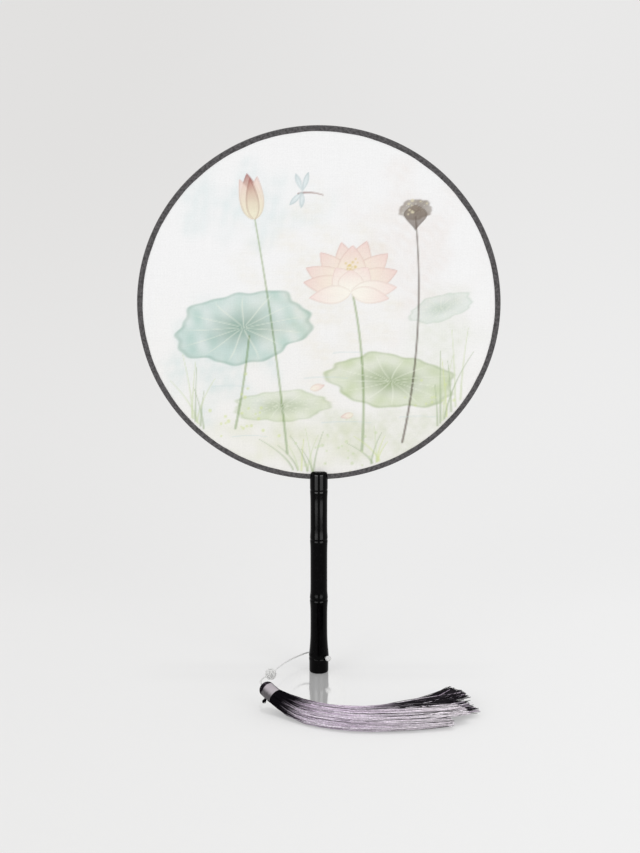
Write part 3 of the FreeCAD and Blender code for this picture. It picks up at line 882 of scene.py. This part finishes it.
def paint_surface(paint):
    """Ripples, weed and two fallen petals."""
    for left, height, wide in (
        (-74, -58, 26), (-10, -52, 30), (2, -84, 34), (56, -80, 26), (-60, -94, 24), (10, -34, 22),
    ):
        ripple = ((left, height), (left + wide / 2, height + 1.5), (left + wide, height))
        paint.stroke(ripple, 0.9, 0.4, MIST, 0.4)
    paint.dots((-50, -80), 11.0, 22, 1.0, LIME, 0.6, 23)
    paint.dots((16, -98), 12.0, 24, 1.0, SAGE, 0.65, 24)
    paint.dots((78, -66), 8.0, 12, 0.9, LIME, 0.5, 25)
    paint.petal((-6, -60), (4, -57), 5, CREAM, BLUSH, 0.8)
    paint.petal((24, -78), (15, -80), 4.5, CREAM, BLUSH, 0.8)


def paint_dragonfly(paint, shoulders):
    """A small dragonfly: its body, then two pairs of wings."""
    paint.stroke(((-14, 78), (-6, 80), (3, 77)), 1.3, 0.6, (0.34, 0.2, 0.18), 0.8)
    for tip in ((-16, 92), (-7, 93), (-20, 70), (-12, 68)):
        paint.petal(shoulders, tip, 3.6, (0.75, 0.83, 0.84), (0.6, 0.7, 0.72), 0.7, 1.2)


# Silk

SILK_RADIUS = 124.5
# The outer and the inner face of each disc, from the middle of the hoop.
SILK_FACE = 0.95
SILK_BACK = 0.80


def silk_disc(name, step, side):
    """A disc of silk with an even grid on the face that is seen, closed by one plain face behind."""
    radius = SILK_RADIUS * MM
    count = int(2 * radius / step)
    bm = bmesh.new()
    upright = Matrix.Rotation(math.radians(90), 4, "X")
    bmesh.ops.create_grid(bm, x_segments=count, y_segments=count, size=radius, matrix=upright)
    outside = [v for v in bm.verts if math.hypot(v.co.x, v.co.z) > radius]
    bmesh.ops.delete(bm, geom=outside, context="VERTS")
    rim = [e for e in bm.edges if e.is_boundary]
    for vert in {v for e in rim for v in e.verts}:
        vert.co *= radius / math.hypot(vert.co.x, vert.co.z)
    made = bmesh.ops.extrude_edge_only(bm, edges=rim)["geom"]
    rear = [v for v in made if isinstance(v, bmesh.types.BMVert)]
    bmesh.ops.translate(bm, vec=(0, side * (SILK_BACK - SILK_FACE) * MM, 0), verts=rear)
    bmesh.ops.edgeloop_fill(bm, edges=[e for e in made if isinstance(e, bmesh.types.BMEdge)])
    bmesh.ops.translate(bm, vec=(0, side * SILK_FACE * MM, LEAF_HEIGHT * MM), verts=bm.verts)
    bmesh.ops.recalc_face_normals(bm, faces=bm.faces)
    return mesh_from(bm, name)


def stretch_silk(name, node, step, side, looks, share):
    """A painted disc of silk glued to the hoop, on its front side (-1) or its rear side (1)."""
    mesh = silk_disc(name, step, side)
    places = points_of(mesh)
    height = places[:, 2] - LEAF_HEIGHT
    silk = np.array(looks.silk)
    age = smoothstep(40.0, -125.0, height)[:, None]
    ground = silk + age * (np.array(looks.aged_silk) - silk)
    tone = paint_pond(places[:, 0], height, ground)
    store_colours(mesh, "painting", ground + share * (tone - ground))
    piece = add_piece(name, mesh, "fan", silk_material(name), (node,))


class FAN_OT_silk(Operator):
    """Stretches the two discs of silk, the front one painted"""

    bl_idname = "round_fan.silk"
    bl_label = "Silk"

    def execute(self, context):
        looks = context.scene.round_fan.leaf
        stretch_silk("painted_silk", "front_silk", looks.mesh_step, -1, looks, 1.0)
        stretch_silk("backing_silk", "rear_silk", looks.rear_step, 1, looks, looks.show_through)
        return {"FINISHED"}


# Cords and knots

# Control points of the two cords, in millimetres.
HANGING_ROUTE = [
    (-5.197, 5.197, 11.8), (-6.3, 6.3, 11.8), (-8.2, 6.6, 11.6), (-11.2, 4.6, 11.2), (-15.2, -0.6, 11.3),
    (-20.0, -9.0, 11.9), (-24.8, -19.4, 12.6), (-29.2, -31.2, 13.1), (-32.58, -42.12, 13.59),
]
HEAD_ROUTE = [
    (-38.7, -76.2, 17.3), (-39.7, -75.4, 17.93), (-40.2, -73.2, 18.3), (-39.6, -67.5, 17.9),
    (-37.6, -57.0, 16.2), (-35.13, -48.56, 14.58),
]
# The lay of a cord: its strands, their share of its diameter, the sides of each and the length of one turn.
STRANDS = 3
STRAND_SHARE = 0.335
STRAND_SIDES = 6
LAY_LENGTH = 2.4


def twisted_strands(name, line, diameter):
    """Strands laid round a line given in millimetres, as one mesh with its fibre coordinates."""
    line = np.array(line)
    runs = np.linalg.norm(np.diff(line, axis=0), axis=1)
    along = np.concatenate([[0.0], np.cumsum(runs)])
    ways = np.gradient(line, axis=0)
    ways /= np.linalg.norm(ways, axis=1)[:, None]
    side = Vector(ways[0]).orthogonal().normalized()
    sides = []
    for way in ways:
        side = (side - Vector(way) * side.dot(Vector(way))).normalized()
        sides.append(side.copy())
    sides = np.array(sides)
    ups = np.cross(ways, sides)
    strand = STRAND_SHARE * diameter / MM
    reach = 0.5 * diameter / MM - strand
    routes = []
    for i in range(STRANDS):
        turn = (2 * math.pi * (along / LAY_LENGTH + i / STRANDS))[:, None]
        routes.append(line + reach * (np.cos(turn) * sides + np.sin(turn) * ups))
    mesh = tube_mesh(name, routes, strand * MM, STRAND_SIDES, 1)
    each = len(mesh.vertices) // STRANDS
    index = np.arange(len(mesh.vertices)) % each
    share = (index // STRAND_SIDES) / max(each // STRAND_SIDES - 1, 1)
    turns = (index % STRAND_SIDES) / STRAND_SIDES
    store_vectors(mesh, "fibre", np.stack([share * along[-1], turns, index // each], axis=1))
    return mesh


def round_knot_route(radius, crossings, turns):
    """A closed winding over a ball, which passes over and under itself."""
    route = []
    for share in np.linspace(0.0, 1.0, 14 * crossings, endpoint=False):
        turn = 2 * math.pi * turns * share
        wave = 2 * math.pi * crossings * share
        rise = math.radians(64) * math.sin(wave)
        lift = radius + 0.2 * math.cos(2 * wave)
        flat = lift * math.cos(rise)
        route.append((flat * math.cos(turn), flat * math.sin(turn), lift * math.sin(rise)))
    return route + route[:2]


class FAN_OT_cords(Operator):
    """Lays the white cord from the handle to the knot and on to the tassel, and ties its two knots"""

    bl_idname = "round_fan.cords"
    bl_label = "Cord and knots"

    def execute(self, context):
        looks = context.scene.round_fan.tassel
        white = cord_material("white_silk_cord", looks.cord)
        knot = self.ball("round_knot", KNOT_CENTRE, 3.7, (7, 4), looks, white, "head_knot", [])
        hole = Vector((0, 0, HOLE_HEIGHT))
        through = [hole - HOLE_WAY * 7.2, hole + HOLE_WAY * 4.0, hole + HOLE_WAY * 7.6]
        outside = hole + HOLE_WAY * 9.45
        stopper = self.ball(
            "stopper_knot_strands", outside, 1.5, (5, 3), looks, white, "stopper_knot", through
        )
        line = smooth_line(HANGING_ROUTE, 16)
        mesh = twisted_strands("hanging_cord_strands", line, looks.cord_diameter)
        cord = add_piece("hanging_cord_strands", mesh, "cord", white, ("hanging_cord",))
        line = smooth_line(HEAD_ROUTE, 16)
        mesh = twisted_strands("head_cord_strands", line, looks.cord_diameter)
        cord = add_piece("head_cord_strands", mesh, "tassel", white, ("head_cord",))
        return {"FINISHED"}

    @staticmethod
    def ball(name, centre, radius, winding, looks, white, node, lead):
        """A round knot: the cord wound over and under itself about a firm heart, after its lead; the heart is
        painted darker as shade between the strands.
        """
        route = lead + [Vector(p) + centre for p in round_knot_route(radius, *winding)]
        bm = bmesh.new()
        bmesh.ops.create_icosphere(
            bm, subdivisions=3, radius=(radius - 0.1) * MM, matrix=Matrix.Translation(centre * MM)
        )
        for face in bm.faces:
            face.material_index = 1
        bm.from_mesh(twisted_strands(name, smooth_line(route, 2), looks.cord_diameter))
        mesh = mesh_from(bm, name, 80.0)
        piece = add_piece(name, mesh, "cord", white, (node,))
        # Painted shade: the heart that shows between the strands gets a darker cord colour.
        mesh.materials.append(cord_material(f"{name}_heart", times(looks.cord, 0.72)))
        return piece


# Tassel head

# The dome of threads, as its radius, its height and the angles of its points from the top.
DOME_THREADS = 84
DOME_RADIUS = 5.36
DOME_HEIGHT = 4.4
DOME_ANGLES = (6, 18, 34, 52, 70, 86)
# The firm heart under the threads and the band, as radius and distance from the top.
HEAD_CORE = [
    (0.0, 0.12), (1.4, 0.22), (3.0, 0.85), (4.4, 2.3), (5.15, 3.9), (5.05, 4.8), (5.05, 11.2), (0.0, 11.2),
]
# The ribbon: its width, where it begins, how far it winds, its first and mean radius, and the place along it
# where its painted sheen is brightest.
RIBBON_WIDTH = 8.0
RIBBON_TOP = 4.5
RIBBON_START = math.radians(200)
RIBBON_TURN = math.radians(402)
RIBBON_RADIUS = 5.22
RIBBON_MEAN = 5.4
RIBBON_PAINTED_SHEEN = 25.6


def head_frame():
    """The tassel's own frame: its Z runs from the top of the head down into the skirt."""
    flat = Vector((math.cos(HEAD_TURN), math.sin(HEAD_TURN), 0.0))
    way = flat * math.cos(HEAD_TILT) - Vector((0, 0, math.sin(HEAD_TILT)))
    across = Vector((0, 0, 1)).cross(way).normalized()
    turn = Matrix((across, way.cross(across), way)).transposed().to_4x4()
    return Matrix.Translation(HEAD_TOP) @ turn


def scaled_frame(place):
    """A frame given in millimetres, for points in metres."""
    scaled = place.copy()
    scaled.translation = place.translation * MM
    return scaled


def thread_fibres(mesh, lines, sides):
    """Gives each point its place along and round its thread, and returns its thread and its share."""
    each = len(mesh.vertices) // len(lines)
    index = np.arange(len(mesh.vertices))
    thread = index // each
    share = (index % each) // sides / (each // sides - 1)
    longs = np.array([np.linalg.norm(np.diff(np.array(line), axis=0), axis=1).sum() for line in lines])
    along = share * longs[thread] + 3.7 * thread
    store_vectors(mesh, "fibre", np.stack([along, (index % sides) / sides, thread], axis=1))
    return thread, share


class FAN_OT_tassel_head(Operator):
    """Folds the black threads over the head, wraps the satin ribbon and leaves the binding's loose end"""

    bl_idname = "round_fan.tassel_head"
    bl_label = "Tassel head"

    def execute(self, context):
        looks = context.scene.round_fan.tassel
        black = thread_material("black_floss", 0.4, 0.01)
        self.dome(looks, black)
        self.ribbon(looks)
        self.tail(looks, black)
        return {"FINISHED"}

    @staticmethod
    def dome(looks, black):
        """Threads laid over the head from its top, some of them painted a little lighter at random as painted
        sheen, round a firm heart.
        """
        place = head_frame()
        lines = []
        for i in range(DOME_THREADS):
            turn = 2 * math.pi * i / DOME_THREADS
            line = []
            for angle in DOME_ANGLES:
                rise = math.radians(angle)
                lean = turn + 0.25 * rise
                reach = DOME_RADIUS * math.sin(rise)
                depth = DOME_HEIGHT * (1 - math.cos(rise))
                line.append((reach * math.cos(lean), reach * math.sin(lean), depth))
            lean = turn + math.radians(24)
            line.append((5.0 * math.cos(lean), 5.0 * math.sin(lean), 5.2))
            lines.append([place @ Vector(p) for p in line])
        mesh = tube_mesh("head_threads", lines, 0.24 * MM, 4, 2)
        thread, _ = thread_fibres(mesh, lines, 4)
        random = np.random.default_rng(43)
        # Painted sheen: some threads get a little lilac at random, standing in for light on the black floss.
        sheen_share = random.uniform(0.0, 1.0, len(lines))[thread, None] ** 3
        sheen_tinted = np.array(looks.dark_thread) + sheen_share * (0.12 * np.array(looks.lilac_thread))
        bm = bmesh.new()
        bm.from_mesh(turned_mesh("head_core", HEAD_CORE, 40))
        bmesh.ops.transform(bm, matrix=scaled_frame(place), verts=bm.verts)
        bm.from_mesh(mesh)
        joined = mesh_from(bm, "head_threads", 60.0)
        tones = np.tile(looks.dark_thread, (len(joined.vertices), 1))
        tones[-len(sheen_tinted):] = sheen_tinted
        store_colours(joined, "thread_colour", tones)
        add_piece("head_threads", joined, "tassel", black, ("tassel_head",))

    @staticmethod
    def ribbon(looks):
        """A ribbon wound a little more than once round the neck, with an uneven upper edge."""
        place = scaled_frame(head_frame())
        bm = bmesh.new()
        bmesh.ops.create_grid(bm, x_segments=120, y_segments=10, size=0.5)
        layer = bm.loops.layers.uv.new("ribbon")
        for face in bm.faces:
            for loop in face.loops:
                along = (loop.vert.co.x + 0.5) * RIBBON_TURN * RIBBON_MEAN
                loop[layer].uv = (along, loop.vert.co.y * RIBBON_WIDTH)
        for vert in bm.verts:
            wound = vert.co.x + 0.5
            turn = wound * RIBBON_TURN + RIBBON_START
            wave = 0.05 * math.sin(3 * turn) + 0.04 * math.sin(7 * turn + 9 * vert.co.y)
            reach = RIBBON_RADIUS + 0.24 * wound + wave
            edge = 0.45 * math.sin(5 * turn) + 0.3 * math.sin(11 * turn + 1)
            rise = RIBBON_TOP + RIBBON_WIDTH * (vert.co.y + 0.5) + 0.1 * math.sin(2 * turn)
            rise += edge * max(-vert.co.y - 0.2, 0.0)
            vert.co = place @ (Vector((reach * math.cos(turn), reach * math.sin(turn), rise)) * MM)
        bmesh.ops.recalc_face_normals(bm, faces=bm.faces)
        bmesh.ops.solidify(bm, geom=bm.faces[:], thickness=-0.12 * MM)
        mesh = mesh_from(bm, "satin_ribbon", 50.0)
        add_piece("satin_ribbon", mesh, "tassel", satin_material(looks), ("neck_band",))

    @staticmethod
    def tail(looks, black):
        """The cut end of the binding thread, spread like a small brush."""
        way = head_frame().to_3x3() @ Vector((0, 0, 1))
        down = (Vector((0, 0, -1)) + way * way.z).normalized()
        out = (down - way.cross(down) * 0.3).normalized()
        foot = HEAD_TOP + way * 7.5 + out * 5.3
        side = out.cross(way).normalized()
        random = np.random.default_rng(41)
        lines = []
        for _ in range(26):
            a, b = random.normal(0.0, 0.55, 2)
            spread = side * a + way * b
            tip = foot + out * random.uniform(3.0, 4.4) + spread * 1.4
            lines.append([foot + spread * 0.5, foot + out * 1.8 + spread * 1.2, tip])
        mesh = tube_mesh("binding_end", lines, 0.17 * MM, 4, 3)
        thread_fibres(mesh, lines, 4)
        store_colours(mesh, "thread_colour", looks.dark_thread)
        add_piece("binding_end", mesh, "tassel", black, ("binding_tail",))


# Tassel skirt

# The skirt's middle line in plan, with its shares of the change from neck to middle and on to the end.
SKIRT_PLAN = [
    (-20.0, -88.0, 0.42, 0.0), (-8.0, -97.4, 0.78, 0.0), (7.5, -106.0, 1.0, 0.0), (27.5, -110.0, 1.0, 0.10),
    (51.5, -105.4, 1.0, 0.30), (73.0, -96.4, 1.0, 0.64), (92.0, -87.0, 1.0, 1.0),
]
# The skirt's half width and half depth at its neck, its middle and its end.
NECK_HALVES = (5.0, 5.0)
MIDDLE_HALVES = (12.0, 6.4)
END_HALVES = (32.5, 4.8)
SKIRT_ROOT = 10.6
# The six outer locks lie round the middle one, at this share of the bundle.
RING_SHARE = 2.0 / 3.0
# Each lock's end: how much longer it is, its lift and how closely its threads gather.
LOCK_ENDS = [
    (15, 0, 0.3), (16, 2.2, 0.2), (3, 0, 0.3), (-12, 0, 0.22), (-9, 0, 0.3), (13, 0, 0.3), (17, 2.5, 0.16),
]
# The share of threads that end dark in the locks at the far side, and in the rest.
DARK_SHARES = {0: 0.7, 1: 0.96, 5: 0.7, 6: 1.0}
OTHER_DARK_SHARE = 0.1
# The locks whose threads are dark at their tips only, and those on the near side.
DARK_TIP_LOCKS = (0, 5)
NEAR_LOCKS = (2, 3, 4)
THREAD_SIDES = 4
TIP_LENGTH = 1.5
TABLE_CLEARANCE = 0.45


def between(first, second, share):
    """A number that lies at a share of the way from one to another."""
    return first + (second - first) * share


def skirt_stations():
    """Along the skirt: each middle point, its two cross ways, and the bundle's half width and half depth."""
    root = head_frame() @ Vector((0, 0, SKIRT_ROOT))
    middles = [root]
    halves = [NECK_HALVES]
    for x, y, to_middle, to_end in SKIRT_PLAN:
        width, depth = (
            between(between(neck, middle, to_middle), end, to_end)
            for neck, middle, end in zip(NECK_HALVES, MIDDLE_HALVES, END_HALVES)
        )
        height = between(0.25 + depth * 0.9, root.z, (1 - to_middle) ** 2)
        middles.append(Vector((x, y, height)))
        halves.append((width, depth))
    ways = [head_frame().to_3x3() @ Vector((0, 0, 1))]
    ways += [(b - a).normalized() for a, b in zip(middles, middles[2:])]
    ways.append((middles[-1] - middles[-2]).normalized())
    stations = []
    for middle, way, (width, depth) in zip(middles, ways, halves):
        across = Vector((0, 0, 1)).cross(way).normalized()
        stations.append((middle, across, way.cross(across), width, depth))
    halfway = [tuple((a + b) / 2 for a, b in zip(*pair)) for pair in zip(stations, stations[1:])]
    return [station for pair in zip(stations, halfway) for station in pair] + stations[-1:]


class FAN_OT_skirt(Operator):
    """Spreads the threads of the skirt's seven locks over the table"""

    bl_idname = "round_fan.skirt"
    bl_label = "Tassel skirt"

    def execute(self, context):
        looks = context.scene.round_fan.tassel
        floss = thread_material("skirt_floss", 0.42, 0.03)
        stations = skirt_stations()
        for lock in range(len(LOCK_ENDS)):
            self.lock(lock, stations, looks, floss)
        return {"FINISHED"}

    def lock(self, lock, stations, looks, floss):
        """One lock of threads: the first in the middle, the rest in a ring round it."""
        random = np.random.default_rng(100 + lock)
        turn = math.radians(60.0 * lock)
        off = RING_SHARE if lock else 0.0
        lines = [self.thread(stations, off, turn, LOCK_ENDS[lock], random) for _ in range(looks.threads)]
        thin = [1.0] * len(stations) + [0.8]
        radius = 0.5 * looks.thread_diameter
        mesh = tube_mesh(f"skirt_threads_{lock + 1}", lines, radius, THREAD_SIDES, 1, thin)
        thread, share = thread_fibres(mesh, lines, THREAD_SIDES)
        store_colours(mesh, "thread_colour", self.thread_colour(lock, thread, share, looks, random))
        add_piece(mesh.name, mesh, "tassel", floss, (f"skirt_lock_{lock + 1}",))

    @staticmethod
    def thread(stations, off, turn, end, random):
        """One thread: its place in the lock stays, and it wanders a little more towards its end."""
        longer, lift, gather = end
        reach = math.sqrt(random.uniform(0.0, 1.0))
        spin = random.uniform(0.0, 2 * math.pi)
        drift = random.normal(0.0, 1.0, 2)
        stray = math.radians(16.0) * random.normal()
        line = []
        for i, (middle, across, up, width, depth) in enumerate(stations):
            go = i / (len(stations) - 1)
            share = between(0.5, gather, float(smoothstep(0.6, 1.0, go)))
            lean = turn + stray * math.sin(math.pi * go)
            u = off * math.cos(lean) + share * reach * math.cos(spin)
            v = off * math.sin(lean) + share * reach * math.sin(spin)
            far = max(math.hypot(u, v), 1.0)
            u, v = u / far, v / far
            if v < 0.0:
                u *= 1.0 + 0.5 * v * v
            loose = min(0.06, 0.3 * go) * (1.0 - 0.5 * go)
            u += loose * random.normal(0.0, 1.0) + 0.03 * go * drift[0]
            v += loose * random.normal(0.0, 1.0) + 0.03 * go * drift[1]
            line.append(middle + across * (u * width) + up * (v * depth))
        short = abs(random.normal(0.0, 4.0))
        onward = (line[-1] - line[-2]).normalized()
        tip = line[-1] + onward * (longer - TIP_LENGTH - short) + Vector((0, 0, lift))
        line[-1] = tip
        for point in line:
            point.z = max(point.z, TABLE_CLEARANCE)
        line.append(tip + (tip - line[-2]).normalized() * TIP_LENGTH)
        return line

    @staticmethod
    def thread_colour(lock, thread, share, looks, random):
        """Dark beside the band, then lilac-grey, paler on the near side, with some threads dark."""
        count = looks.threads
        lilac = np.array(looks.lilac_thread)
        dark = np.array(looks.dark_thread)
        start = random.normal(0.22, 0.05, count)[thread]
        lilac_share = smoothstep(start - 0.07, start + 0.1, share)
        tint = random.uniform(0.0, 1.0, count)[thread] ** 1.5
        base = lilac + (np.array(looks.pale_thread) - lilac) * tint[:, None]
        lilac_share *= 1.0 - 0.8 * (random.uniform(0.0, 1.0, count) < 0.16)[thread]
        dark_share = DARK_SHARES.get(lock, OTHER_DARK_SHARE)
        dark_ended = (random.uniform(0.0, 1.0, count) < dark_share)[thread]
        first, last = (0.82, 0.92) if lock in DARK_TIP_LOCKS else (0.54, 0.72)
        lilac_share *= 1.0 - 0.97 * dark_ended * smoothstep(first, last, share)
        if lock in NEAR_LOCKS:
            toward_near_end = 0.6 * smoothstep(0.45, 0.85, share)
            base += toward_near_end[:, None] * (np.array(looks.near_end_thread) - base)
        return dark + lilac_share[:, None] * (base - dark)


# Stage

TABLE_HALF = 15.0
TABLE_LEVEL = -0.0001
# The share of the table's own tone in what is seen of it, beside its tone under the lamps.
TABLE_GLOW = 0.4
# The polished patch round the foot: its middle, its reach and how much narrower it is from side to side.
POLISH_MIDDLE = (0.0, -0.042, 0.0)
POLISH_REACH = 0.072
POLISH_NARROWING = 3.4
TOP_LIGHT_PLACE = (0.0, 0.0, 2.0)
FRONT_LIGHT_PLACE = (1.6, -2.0, 1.07)
# The lamps that only the lacquer mirrors: their width, their place, and the height and middle of each.
STRIP_WIDTH = 0.245
STRIP_PLACE = (0.197, -0.289)
GLEAM_STRIP = (0.175, 0.0925)
GLINT_STRIP = (0.115, 0.2375)
CAMERA_PLACE = (0.0008, -2.2, 0.79575)
CAMERA_TILT = math.radians(90.0 - 15.632)


def strip_receivers():
    """The pieces that mirror the strip lamps."""
    return bpy.data.collections.get("strip_receivers") or bpy.data.collections.new("strip_receivers")


def seen_or_mirrored(tree):
    """One for what the camera sees, straight on, mirrored or through glass."""
    light = put(tree, "LightPath").outputs
    other = calc(tree, "MAXIMUM", light["Is Glossy Ray"], light["Is Transmission Ray"])
    return calc(tree, "MAXIMUM", light["Is Camera Ray"], other)


def bare_tree(owner):
    """The emptied node tree of a material or a world."""
    owner.use_nodes = True
    owner.node_tree.nodes.clear()
    return owner.node_tree


class FAN_OT_stage(Operator):
    """Sets the pale table, the lamps and the camera"""

    bl_idname = "round_fan.stage"
    bl_label = "Stage"

    def execute(self, context):
        looks = context.scene.round_fan.stage
        self.table(looks)
        self.room(context.scene, looks)
        self.broad_light("top_light", looks.top_light, 8.0, TOP_LIGHT_PLACE)
        for side in (-1, 1):
            x, y, z = FRONT_LIGHT_PLACE
            self.broad_light("front_light", looks.front_light, 35.0, (side * x, y, z))
            self.strip("gleam", side, GLEAM_STRIP, looks.gleam_power)
            self.strip("glint", side, GLINT_STRIP, looks.glint_power)
        self.camera(context.scene, looks)
        context.scene.view_settings.view_transform = "Standard"
        return {"FINISHED"}

    @staticmethod
    def table(looks):
        """A pale table, painted lighter towards the near right as painted light, with a polish round the foot
        at a low view.
        """
        bm = bmesh.new()
        level = Matrix.Translation((0, 0, TABLE_LEVEL))
        bmesh.ops.create_grid(bm, x_segments=1, y_segments=1, size=TABLE_HALF, matrix=level)
        table = linked("table", mesh_from(bm, "table"))
        material = bpy.data.materials.new("pale_table")
        tree = bare_tree(material)
        place = put(tree, "TexCoord").outputs["Object"]
        parts = split(tree, place)
        # Painted light: the table's colour grows lighter towards the front and the right, standing in for the
        # fall of light across it.
        forward = ramped(tree, parts[1], 2.2, -0.6, 0.27, 0.85)
        sideways = ramped(tree, parts[0], -0.35, 0.35, -0.22, 0.22)
        tone = mixed(tree, calc(tree, "ADD", forward, sideways), looks.far_floor, looks.near_floor)
        diffuse = put(tree, "BsdfDiffuse", {"Color": tone}).outputs[0]
        glow = put(tree, "Emission", {"Color": tone, "Strength": 1.0}).outputs[0]
        base = blended(tree, calc(tree, "MULTIPLY", seen_or_mirrored(tree), TABLE_GLOW), diffuse, glow)
        mirror = put(tree, "BsdfGlossy", {"Color": (1, 1, 1, 1), "Roughness": 0.08}).outputs[0]
        narrow = stretched(tree, place, (POLISH_NARROWING, 1.0, 1.0))
        away = put(tree, "VectorMath", {0: narrow, 1: POLISH_MIDDLE}, operation="DISTANCE")
        polish = ramped(tree, away.outputs["Value"], POLISH_REACH, 0.5 * POLISH_REACH, 0.0, looks.polish)
        polish = calc(tree, "MULTIPLY", polish, put(tree, "LightPath").outputs["Is Camera Ray"])
        low_view = put(tree, "LayerWeight", {"Blend": 0.5}).outputs["Facing"]
        polish = calc(tree, "MULTIPLY", polish, calc(tree, "POWER", low_view, 1.3))
        put(tree, "OutputMaterial", {"Surface": blended(tree, polish, base, mirror)})
        table.data.materials.append(material)

    @staticmethod
    def room(scene, looks):
        """Even light, with the pale backdrop in what is seen and mirrored."""
        scene.world = bpy.data.worlds.new("room")
        tree = bare_tree(scene.world)
        white = {"Color": (1.0, 1.0, 1.0, 1.0), "Strength": looks.room_light}
        even = put(tree, "Background", white).outputs[0]
        pale = put(tree, "Background", {"Color": (*looks.backdrop, 1.0)}).outputs[0]
        done = blended(tree, seen_or_mirrored(tree), even, pale)
        put(tree, "OutputWorld", {"Surface": done})

    def broad_light(self, name, strength, spread, place):
        """An even light from far off, which no surface mirrors."""
        sun = bpy.data.lights.new(name, "SUN")
        sun.energy = strength
        sun.angle = math.radians(spread)
        self.hang(name, sun, place, (0.0, 0.0, 0.0)).visible_glossy = False

    def strip(self, name, side, upright, power):
        """A soft upright lamp beside the handle, which only the lacquer mirrors."""
        height, middle = upright
        data = bpy.data.lights.new(name, "AREA")
        data.shape = "RECTANGLE"
        data.size = STRIP_WIDTH
        data.size_y = height
        data.energy = power
        x, y = STRIP_PLACE
        lamp = self.hang(name, data, (side * x, y, middle), (0.0, 0.0, middle))
        lamp.visible_diffuse = False
        lamp.light_linking.receiver_collection = strip_receivers()

    @staticmethod
    def hang(name, data, place, target):
        """A lamp at a place, aimed at a target."""
        lamp = linked(name, data)
        lamp.location = place
        lamp.rotation_euler = (Vector(target) - Vector(place)).to_track_quat("-Z", "Y").to_euler()
        lamp.visible_camera = False
        return lamp

    @staticmethod
    def camera(scene, looks):
        """A camera at the photograph's viewing angle."""
        data = bpy.data.cameras.new("camera")
        data.sensor_fit = "VERTICAL"
        data.sensor_height = 36.0
        data.lens = looks.focal_length
        data.clip_end = 50.0
        camera = linked("camera", data)
        camera.location = CAMERA_PLACE
        camera.rotation_euler = (CAMERA_TILT, 0.0, 0.0)
        scene.camera = camera


class FAN_PT_pieces(Panel):
    """The fan's pieces, in the order in which they are made"""

    bl_idname = "FAN_PT_pieces"
    bl_label = "Round silk fan"
    bl_space_type = "VIEW_3D"
    bl_region_type = "UI"
    bl_category = "Fan"

    def draw(self, context):
        for operator in OPERATORS:
            self.layout.operator(operator.bl_idname)


SETTINGS = (LeafSettings, HandleSettings, TasselSettings, StageSettings, FanSettings)
OPERATORS = (
    FAN_OT_stage, FAN_OT_cords, FAN_OT_handle, FAN_OT_rim, FAN_OT_silk, FAN_OT_tassel_head, FAN_OT_skirt,
)
CLASSES = SETTINGS + OPERATORS + (FAN_PT_pieces,)


def register():
    for each in CLASSES:
        bpy.utils.register_class(each)
    bpy.types.Scene.round_fan = PointerProperty(type=FanSettings)


def unregister():
    del bpy.types.Scene.round_fan
    for each in reversed(CLASSES):
        bpy.utils.unregister_class(each)


def main():
    register()
    bpy.ops.round_fan.stage()
    bpy.ops.round_fan.cords()
    bpy.ops.round_fan.handle()
    bpy.ops.round_fan.rim()
    bpy.ops.round_fan.silk()
    bpy.ops.round_fan.tassel_head()
    bpy.ops.round_fan.skirt()


if __name__ == "__main__":
    main()
